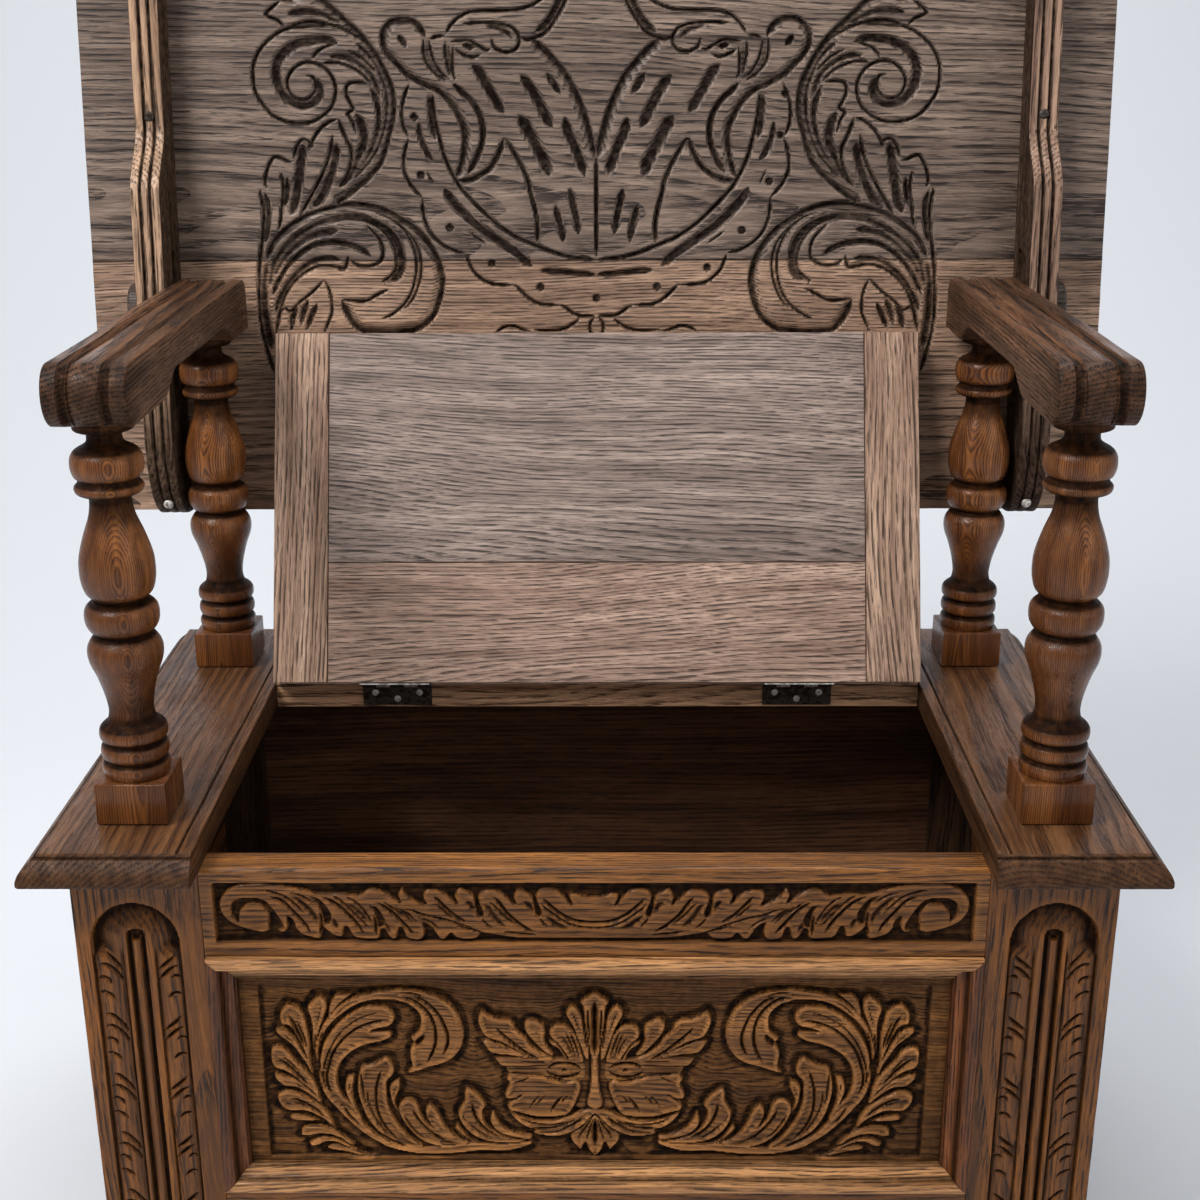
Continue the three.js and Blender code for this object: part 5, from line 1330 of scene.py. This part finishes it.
crescent_cuts = [
    ("V", 2.2, 2.2, 2.8, [
        (0, 226, 10, 227, 20, 228, 30, 230, 40, 233, 50, 237, 60, 241, 70, 245, 80, 251, 90, 258, 100, 267,
        112, 279, 122, 290, 126, 297, 131, 306, 136, 318, 139, 330, 142, 342, 144, 354, 145, 365, 145, 372),
    ]),
    ("V", 1.8, 1.8, 2.6, [
        (165, 380, 169, 372, 172, 362, 173, 352, 171, 341, 167, 333), (167, 333, 170, 325, 172, 315,
        172, 305, 168, 295, 162, 287, 156, 281), (156, 281, 156, 270, 154, 260, 150, 251, 144, 244, 136, 238,
        127, 234, 118, 232), (118, 232, 116, 226, 112, 217, 105, 210, 98, 206, 88, 204, 76, 204), (76, 204,
        73, 203, 67, 197, 60, 191, 52, 187, 44, 186, 34, 186), (34, 186, 29, 184, 22, 179, 15, 176, 8, 176,
        0, 176),
    ]),
    ("U", 3.4, 3.4, 2.0, [(148, 371, 147, 360, 146, 345, 143, 330)]),
    ("U", 3.0, 3.0, 1.8, [
        (158, 347, 157, 335, 152, 322, 145, 312), (100, 249, 88, 243, 77, 237, 66, 231), (52, 217, 35, 216,
        18, 214, 0, 213),
    ]),
    ("V", 1.3, 1.3, 1.6, [ (156, 336, 151, 322), (152, 305, 146, 292), (116, 252, 108, 246, 99, 240)]),
    ("U", 4.2, 4.2, 2.2, [
        (137, 290, 130, 279, 120, 268, 108, 257, 97, 249, 85, 241, 75, 234, 66, 227, 58, 220),
    ]),
]
drilled_dots = [
    (-162, 351), (-157, 301), (-132, 255), (-95, 223), (-51, 202), (0, 192), (55, 202), (100, 219),
    (131, 252), (155, 295), (164, 335), (168, 370.5),
]
scroll_cuts = [
    ("V", 8.0, 2.0, 2.8, [
        (277, 450, 262, 457, 250, 456, 238, 450, 228, 441, 218, 432, 207, 422, 198, 411, 190, 398, 184, 386,
        180, 374, 179, 362, 180, 350, 184, 336, 187, 325, 192, 312, 200, 302, 210, 293, 220, 285, 230, 278,
        238, 273),
    ]),
    ("V", 7.0, 2.0, 2.8, [
        (299, 226, 296, 236, 290, 246, 280, 255, 268, 263, 255, 269, 240, 273, 225, 276, 212, 276, 200, 274,
        188, 270, 175, 263, 162, 254, 152, 243, 144, 230, 140, 218, 139, 205, 142, 190, 147, 178, 155, 169,
        165, 163, 178, 161, 190, 160, 205, 161, 215, 163, 223, 170, 229, 180, 232, 191),
    ]),
    ("V", 1.8, 1.8, 2.6, [
        (277, 450, 290, 439, 281, 434, 273, 427), (207, 421, 215, 425, 228, 429, 240, 429, 255, 428,
        270, 427, 280, 423, 290, 416, 298, 407, 303, 396, 304, 385, 302, 372, 296, 362, 288, 353, 278, 348,
        266, 346, 254, 347, 244, 352, 236, 359, 232, 368, 231, 377, 234, 386, 240, 393, 248, 397, 257, 398,
        266, 394, 272, 387, 274, 379, 271, 371, 266, 367, 259, 366, 253, 369, 249, 375, 249, 382, 252, 386,
        258, 387), (227, 414, 237, 412, 245, 408, 250, 402, 249, 399), (243, 397, 232, 398, 220, 395,
        210, 390, 203, 384, 198, 378), (220, 408, 208, 402, 198, 393, 192, 386), (202, 380, 212, 381,
        220, 379, 222, 372, 219, 364, 216, 358, 221, 354, 217, 347, 214, 336), (229, 350, 238, 347, 246, 341,
        252, 333, 256, 326, 254, 328, 262, 332, 268, 325, 271, 314), (271, 312, 278, 314, 287, 317, 292, 312,
        296, 302, 297, 292, 293, 290), (283, 305, 281, 290, 283, 275, 285, 260, 288, 251), (232, 191,
        222, 190, 210, 190, 200, 195, 192, 199, 188, 200), (191, 204, 193, 208, 188, 211, 182, 218, 181, 228,
        184, 240, 191, 250, 200, 257, 212, 262, 225, 264), (210, 260, 203, 253, 196, 245, 193, 236, 194, 228,
        199, 223, 208, 221, 217, 222, 224, 227),
    ]),
    ("V", 2.2, 2.2, 2.8, [
        (301, 289, 302, 286, 300, 275, 300, 262, 301, 250, 303, 238, 305, 225, 306, 210, 307, 195, 307, 180,
        306, 165, 303, 150, 299, 135, 296, 125), (229, 350, 227, 342, 223, 332, 219, 323, 220, 310, 225, 298,
        231, 289), (235, 336, 238, 320, 244, 305, 252, 290, 260, 277, 268, 264), (273, 427, 255, 432,
        240, 431, 225, 427, 208, 418, 198, 408, 190, 396), (224, 231, 226, 224, 229, 219, 240, 221, 252, 221,
        264, 216, 275, 207, 283, 196, 287, 186, 290, 175, 292, 163),
    ]),
    ("U", 4.6, 4.6, 2.2, [
        (227, 414, 240, 417, 255, 416, 268, 412, 278, 404, 283, 394, 283, 383, 279, 373, 272, 366, 262, 362,
        252, 364, 246, 371, 247, 380, 250, 385), (214, 355, 209, 343, 207, 330, 212, 318, 218, 305,
        227, 293), (262, 330, 264, 315, 267, 298, 270, 282, 275, 266), (232, 330, 235, 312, 241, 295,
        249, 280, 258, 270), (232, 253, 250, 251, 266, 244, 278, 234, 288, 222, 295, 208), (297, 225,
        302, 205, 303, 185, 301, 165, 298, 145), (190, 208, 180, 214, 177, 225, 179, 238, 186, 250, 197, 258,
        212, 264, 228, 265, 245, 261, 262, 253, 276, 243, 288, 230, 295, 215, 299, 200),
    ]),
    ("U", 3.2, 3.2, 2.0, [
        (236, 403, 222, 402, 210, 397, 200, 388, 194, 376, 192, 366), (272, 439, 258, 441, 245, 440,
        232, 435, 220, 428), (213, 416, 200, 404, 192, 390, 186, 372, 186, 355, 190, 338, 197, 322, 208, 308,
        222, 295), (200, 378, 195, 365, 193, 350, 196, 335, 203, 320, 213, 307, 225, 296, 232, 289),
        (298, 287, 296, 275, 296, 262, 298, 250, 301, 238), (230, 226, 245, 227, 258, 224, 270, 216,
        280, 205, 288, 192, 293, 178), (262, 192, 267, 180, 270, 168), (272, 188, 277, 175, 279, 163),
    ]),
    ("U", 2.6, 2.6, 2.8, [
        (204, 230, 215, 237, 228, 241, 242, 242, 257, 239, 270, 231, 281, 220, 289, 208, 295, 195),
        (277, 299, 278, 285, 281, 272), (254, 188, 260, 176, 265, 164),
    ]),
    ("V", 1.6, 1.6, 2.3, [
        (203, 269, 190, 265, 178, 257, 169, 246, 164, 233, 163, 220, 165, 207, 169, 196, 176, 186, 186, 178,
        197, 173), (195, 268, 184, 262, 172, 253, 163, 241, 159, 228, 159, 215, 162, 203, 167, 192,
        175, 182), (247, 209, 255, 201, 262, 195, 270, 189, 277, 182, 280, 181, 285, 183, 289, 178, 292, 168,
        293, 160), (247, 209, 243, 200, 241, 190, 241, 180, 245, 170, 249, 161), (93, 161, 84, 166, 76, 167,
        68, 164, 60, 162), (57, 164, 50, 163, 38, 163, 28, 165, 20, 170, 14, 175), (0, 176, 5, 171, 6, 163,
        0, 155),
    ]),
]


lean = math.radians(7)
top_up = np.array([0, math.sin(lean), math.cos(lean)])
top_out = np.array([0, -math.cos(lean), math.sin(lean)])
top_foot = np.array([0, 174.24, 570.98])
top_half = 457.0
top_thickness = 20.0
seams = [0.0, 228.0, 456.0, 570.0]
seam_gap, seam_round = 0.02, 0.12
trace_shift = 2.0
carving_foot, carving_head, carving_half, carving_step = 118.0, 480.0, 312.0, 1.3
# The strokes were set a little narrow and shallow, so each is cut wider and deeper
deepened_cuts = [
    (section, 1.25 * left, 1.25 * right, 1.4 * deep, paths)
    for section, left, right, deep, paths in beast_cuts + crescent_cuts + scroll_cuts
]
half_columns = np.concatenate([
    lines(0, carving_half, carving_step), lines(carving_half, top_half - edge_round, 8)[1:],
])
across = both_ways(half_columns)
for index, (word, light, dark, heart, slope, ring) in enumerate((
    ("lower", "#d6ae90", "#64493a", (0, 380, 560), 0.02, 2.0),
    ("middle", "#ad9482", "#40302a", (0, 470, 800), -0.015, 2.2),
    ("upper", "#ad9482", "#40302a", (0, 420, 1240), 0.01, 2.0),
)):
    foot_round = edge_round if index == 0 else seam_round
    head_round = edge_round if index == 2 else seam_round
    low = seams[index] + seam_gap * (index > 0) + foot_round
    high = seams[index + 1] - seam_gap * (index < 2) - head_round
    start, end = max(low, carving_foot), min(high, carving_head)
    rows = np.concatenate([
        lines(low, start, 4)[:-1] if start > low else [], lines(start, end, carving_step),
        lines(end, high, 6)[1:] if end < high else [],
    ])
    field = np.zeros((len(rows), len(half_columns)))
    depth = mirrored(carve(field, half_columns, rows - trace_shift, deepened_cuts))
    x, h = np.meshgrid(across, rows)
    for dot_x, dot_h in drilled_dots:
        away = np.hypot(x - dot_x, h - trace_shift - dot_h) / 3.9
        depth = np.maximum(depth, 2.8 * np.sqrt(np.clip(1 - away ** 2, 0, 1)))
    depth = depth + hand_planed(across, rows, 0.3, 0.25, 150, 20 + index)
    rings = rounding(edge_round, top_thickness, foot_round, head_round)
    points, faces = slab(across, rows, depth, rings, seed=22 + index)
    # The cuts are darkened with dirt and painted shade
    grime_and_shade = np.zeros(len(points))
    grime_and_shade[:depth.size] = tones(depth, 3.4, 0.52, 0.75)["carved"].ravel()
    # The edges that meet in the seams are full of old wax
    for seam in seams[1:3]:
        grime_and_shade = np.maximum(grime_and_shade, 0.85 * (np.abs(points[:, 1] - seam) < 0.3))
    piece(
        f"top_plank_{word}_carved", set_in(points, (1, 0, 0), top_up, top_foot), faces,
        oak(f"top oak {word}", light, dark, heart, (1, 0.015, slope), ring=ring), "table_top",
        [f"top_plank_{word}"], "top_oak", carved=grime_and_shade,
    )


# Bearers: an oak bar down each side of the back, screwed to it from the front, with two V grooves
# down its front edge. It is deep where the slot for the peg is, and its foot is rounded off.
bearer_middle, bearer_head, bearer_thick, bearer_thin = 389.35, 558, 62, 33
slot_out, slot_low, slot_high, slot_radius = 24, 109, 231, (6.8, 6.8)
bearer_outline = evened([
    [(0.3, 0.0)],
    arc((12, 80), (50, 80), 270, 360, 12),
    ogee((285, bearer_thick), (345, bearer_thin), 12)[:, ::-1],
    [(bearer_thin, bearer_head), (0.3, bearer_head)],
])
bearer_shaped = np.where(bearer_outline[:, 0] > 12.5, 1.0, 0.0) * (bearer_outline[:, 1] < bearer_head - 1)
slot_hole = np.vstack([
    arc((slot_out, slot_low), slot_radius, 180, 360, 10), arc((slot_out, slot_high), slot_radius, 0, 180, 10),
])
bearer_columns = both_ways(np.array([
    0, 1.6, 2.5, 3.0, 3.5, 4.0, 4.5, 5.0, 5.5, 6.0, 6.9, 9, 11, 11.7, 12.2, 12.6, 12.85,
]))
reach = np.abs(bearer_columns)
groove_deep, groove_middle, groove_half = 2.6, 4.25, 1.9
bearer_edges = 1.4 * (1 - np.sqrt(1 - np.clip((reach - 11.4) / 1.45, 0, 1) ** 2 * 0.98))
bearer_groove = groove_deep * np.clip(1 - np.abs(reach - groove_middle) / groove_half, 0, 1)
# Painted shade, with dirt: the two grooves nearly black
groove_dark = np.outer(0.95 * np.clip(bearer_groove / 1.2, 0, 1), bearer_shaped)
for word, light, dark in (("left", "#e0b694", "#7a5a44"), ("right", "#c09a80", "#66493a")):
    side = sides[word]
    points, faces = banded(
        bearer_outline, bearer_shaped, bearer_columns, bearer_edges, bearer_groove, slot_hole,
    )
    across, out, up = points.T
    grime_and_shade = np.zeros(len(points))
    grime_and_shade[:groove_dark.size] = groove_dark.ravel()
    # The foot and the side faces are made much darker than the front edge
    grime_and_shade = np.maximum(grime_and_shade, 0.82 * (1 - smoothstep(up, 60, 150)))
    grime_and_shade = np.maximum(grime_and_shade, 0.86 * (np.abs(across) > 12.5))
    out = out - 0.2 * (1 + ripple(across, up, size=60, seed=80 + side)) * (out > 31.5)
    placed = (
        np.column_stack([side * bearer_middle + across, 0 * across, 0 * across]) + top_foot
        + out[:, None] * top_out + up[:, None] * top_up
    )
    bearer_oak = oak(
        f"bearer oak {word}", light, dark, (side * 420, 90, 800), tuple(top_up + [0.01 * side, 0, 0]),
        ring=2.8, gloss=0.36,
    )
    piece(
        f"bearer_{word}_grooved", placed, faces, bearer_oak, "table_top", [f"bearer_{word}"], "top_oak",
        carved=grime_and_shade,
    )
for name, spots, height, tilt, levels, metal, seed in (
    ("bearer_screws_slotted", ((32.4, 352), (32.4, 505)), 2.4, 0, ("middle", "head"), dark_steel, 9),
    # The lowest screw is driven into the rounded foot, a little downwards, and is rubbed bright
    ("bearer_foot_screws_slotted", ((39.3, 11.8),), 3.2, 0.4, ("foot",), leaf_steel, 10),
):
    places = [
        top_foot + np.array([side * bearer_middle, 0, 0]) + out * top_out + up * top_up
        for side in sides.values() for out, up in spots
    ]
    nodes = [f"bearer_screw_{level}_{word}" for word in sides for level in levels]
    screws(name, places, 4.5, height, math.pi / 2 - lean + tilt, metal, "table_top", nodes, seed)


# Pivot pegs: a turned oak peg each side goes through the slot into the arm, with a round knob
# outside. The back turns and slides on them.
peg_profile = np.array([
    (0, 340.8), (5.4, 340.8), (6.3, 341.6), (6.5, 343), (6.5, 403.2), (16.6, 403.2), (18.4, 403.7),
    (19.6, 405), (20, 406.8), (20, 412.6), (19.4, 414.4), (18, 415.7), (15, 416.2), (0, 416.2),
])
peg_y, peg_z = 173.448, 761.5
peg_oak = oak("peg oak", "#6e5b4d", "#35271e", (300, 160, 752), (1, 0.02, 0.01))
for word, side in sides.items():
    name = f"pivot_peg_{word}_turned"
    spots, faces = turned(name, peg_profile, peg_oak, around=40, step=0.6)
    placed = np.column_stack([side * spots[:, 2], side * spots[:, 1] + peg_y, spots[:, 0] + peg_z])
    piece(name, placed, faces, peg_oak, "pivot_pegs", [f"pivot_peg_{word}"], "dark_oak")


# A plain pale floor under the bench, curved up into a backdrop, and soft studio light from above.
paper, tree, shader = new_material("studio paper")
feed(tree, shader, {"Base Color": linear("#e4e6ea"), "Roughness": 0.9})
bend = [(900 + 1600 * math.sin(turn), 1600 - 1600 * math.cos(turn)) for turn in lines(0, math.pi / 2, 0.06)]
sweep_path = [(-4000, 0), (-1500, 0), (0, 0), (500, 0), *bend, (2500, 3000), (2500, 4500)]
floor_mesh = bpy.data.meshes.new("floor")
floor_points = [(x, y / 1000, z / 1000) for y, z in sweep_path for x in (-6, 6)]
floor_faces = [(2 * k, 2 * k + 1, 2 * k + 3, 2 * k + 2) for k in range(len(sweep_path) - 1)]
floor_mesh.from_pydata(floor_points, [], floor_faces)
floor_mesh.materials.append(paper)
smooth(floor_mesh)
floor = add_object("floor", floor_mesh)


def soft_light(name, place, target, size, power):
    """A square soft box at a place, turned to a target, both in metres."""
    data = bpy.data.lights.new(name, "AREA")
    data.size = size
    data.energy = power
    aim = (Vector(place) - Vector(target)).to_track_quat("Z", "Y")
    add_object(name, data).matrix_world = Matrix.Translation(place) @ aim.to_matrix().to_4x4()


soft_light("key light", (-1.5, -1.4, 2.9), (0, 0, 0.6), 1.1, 78)
soft_light("fill light", (2.3, -1.8, 1.7), (0, 0, 0.6), 2.0, 14)
soft_light("top light", (0.3, 0.6, 3.0), (0, 0, 0.5), 1.6, 34)
world = bpy.data.worlds.new("studio")
bpy.context.scene.world = world
world.use_nodes = True
feed(world.node_tree, world.node_tree.nodes["Background"], {"Color": linear("#dfe4ea"), "Strength": 0.45})

bpy.context.scene.view_settings.view_transform = "Standard"
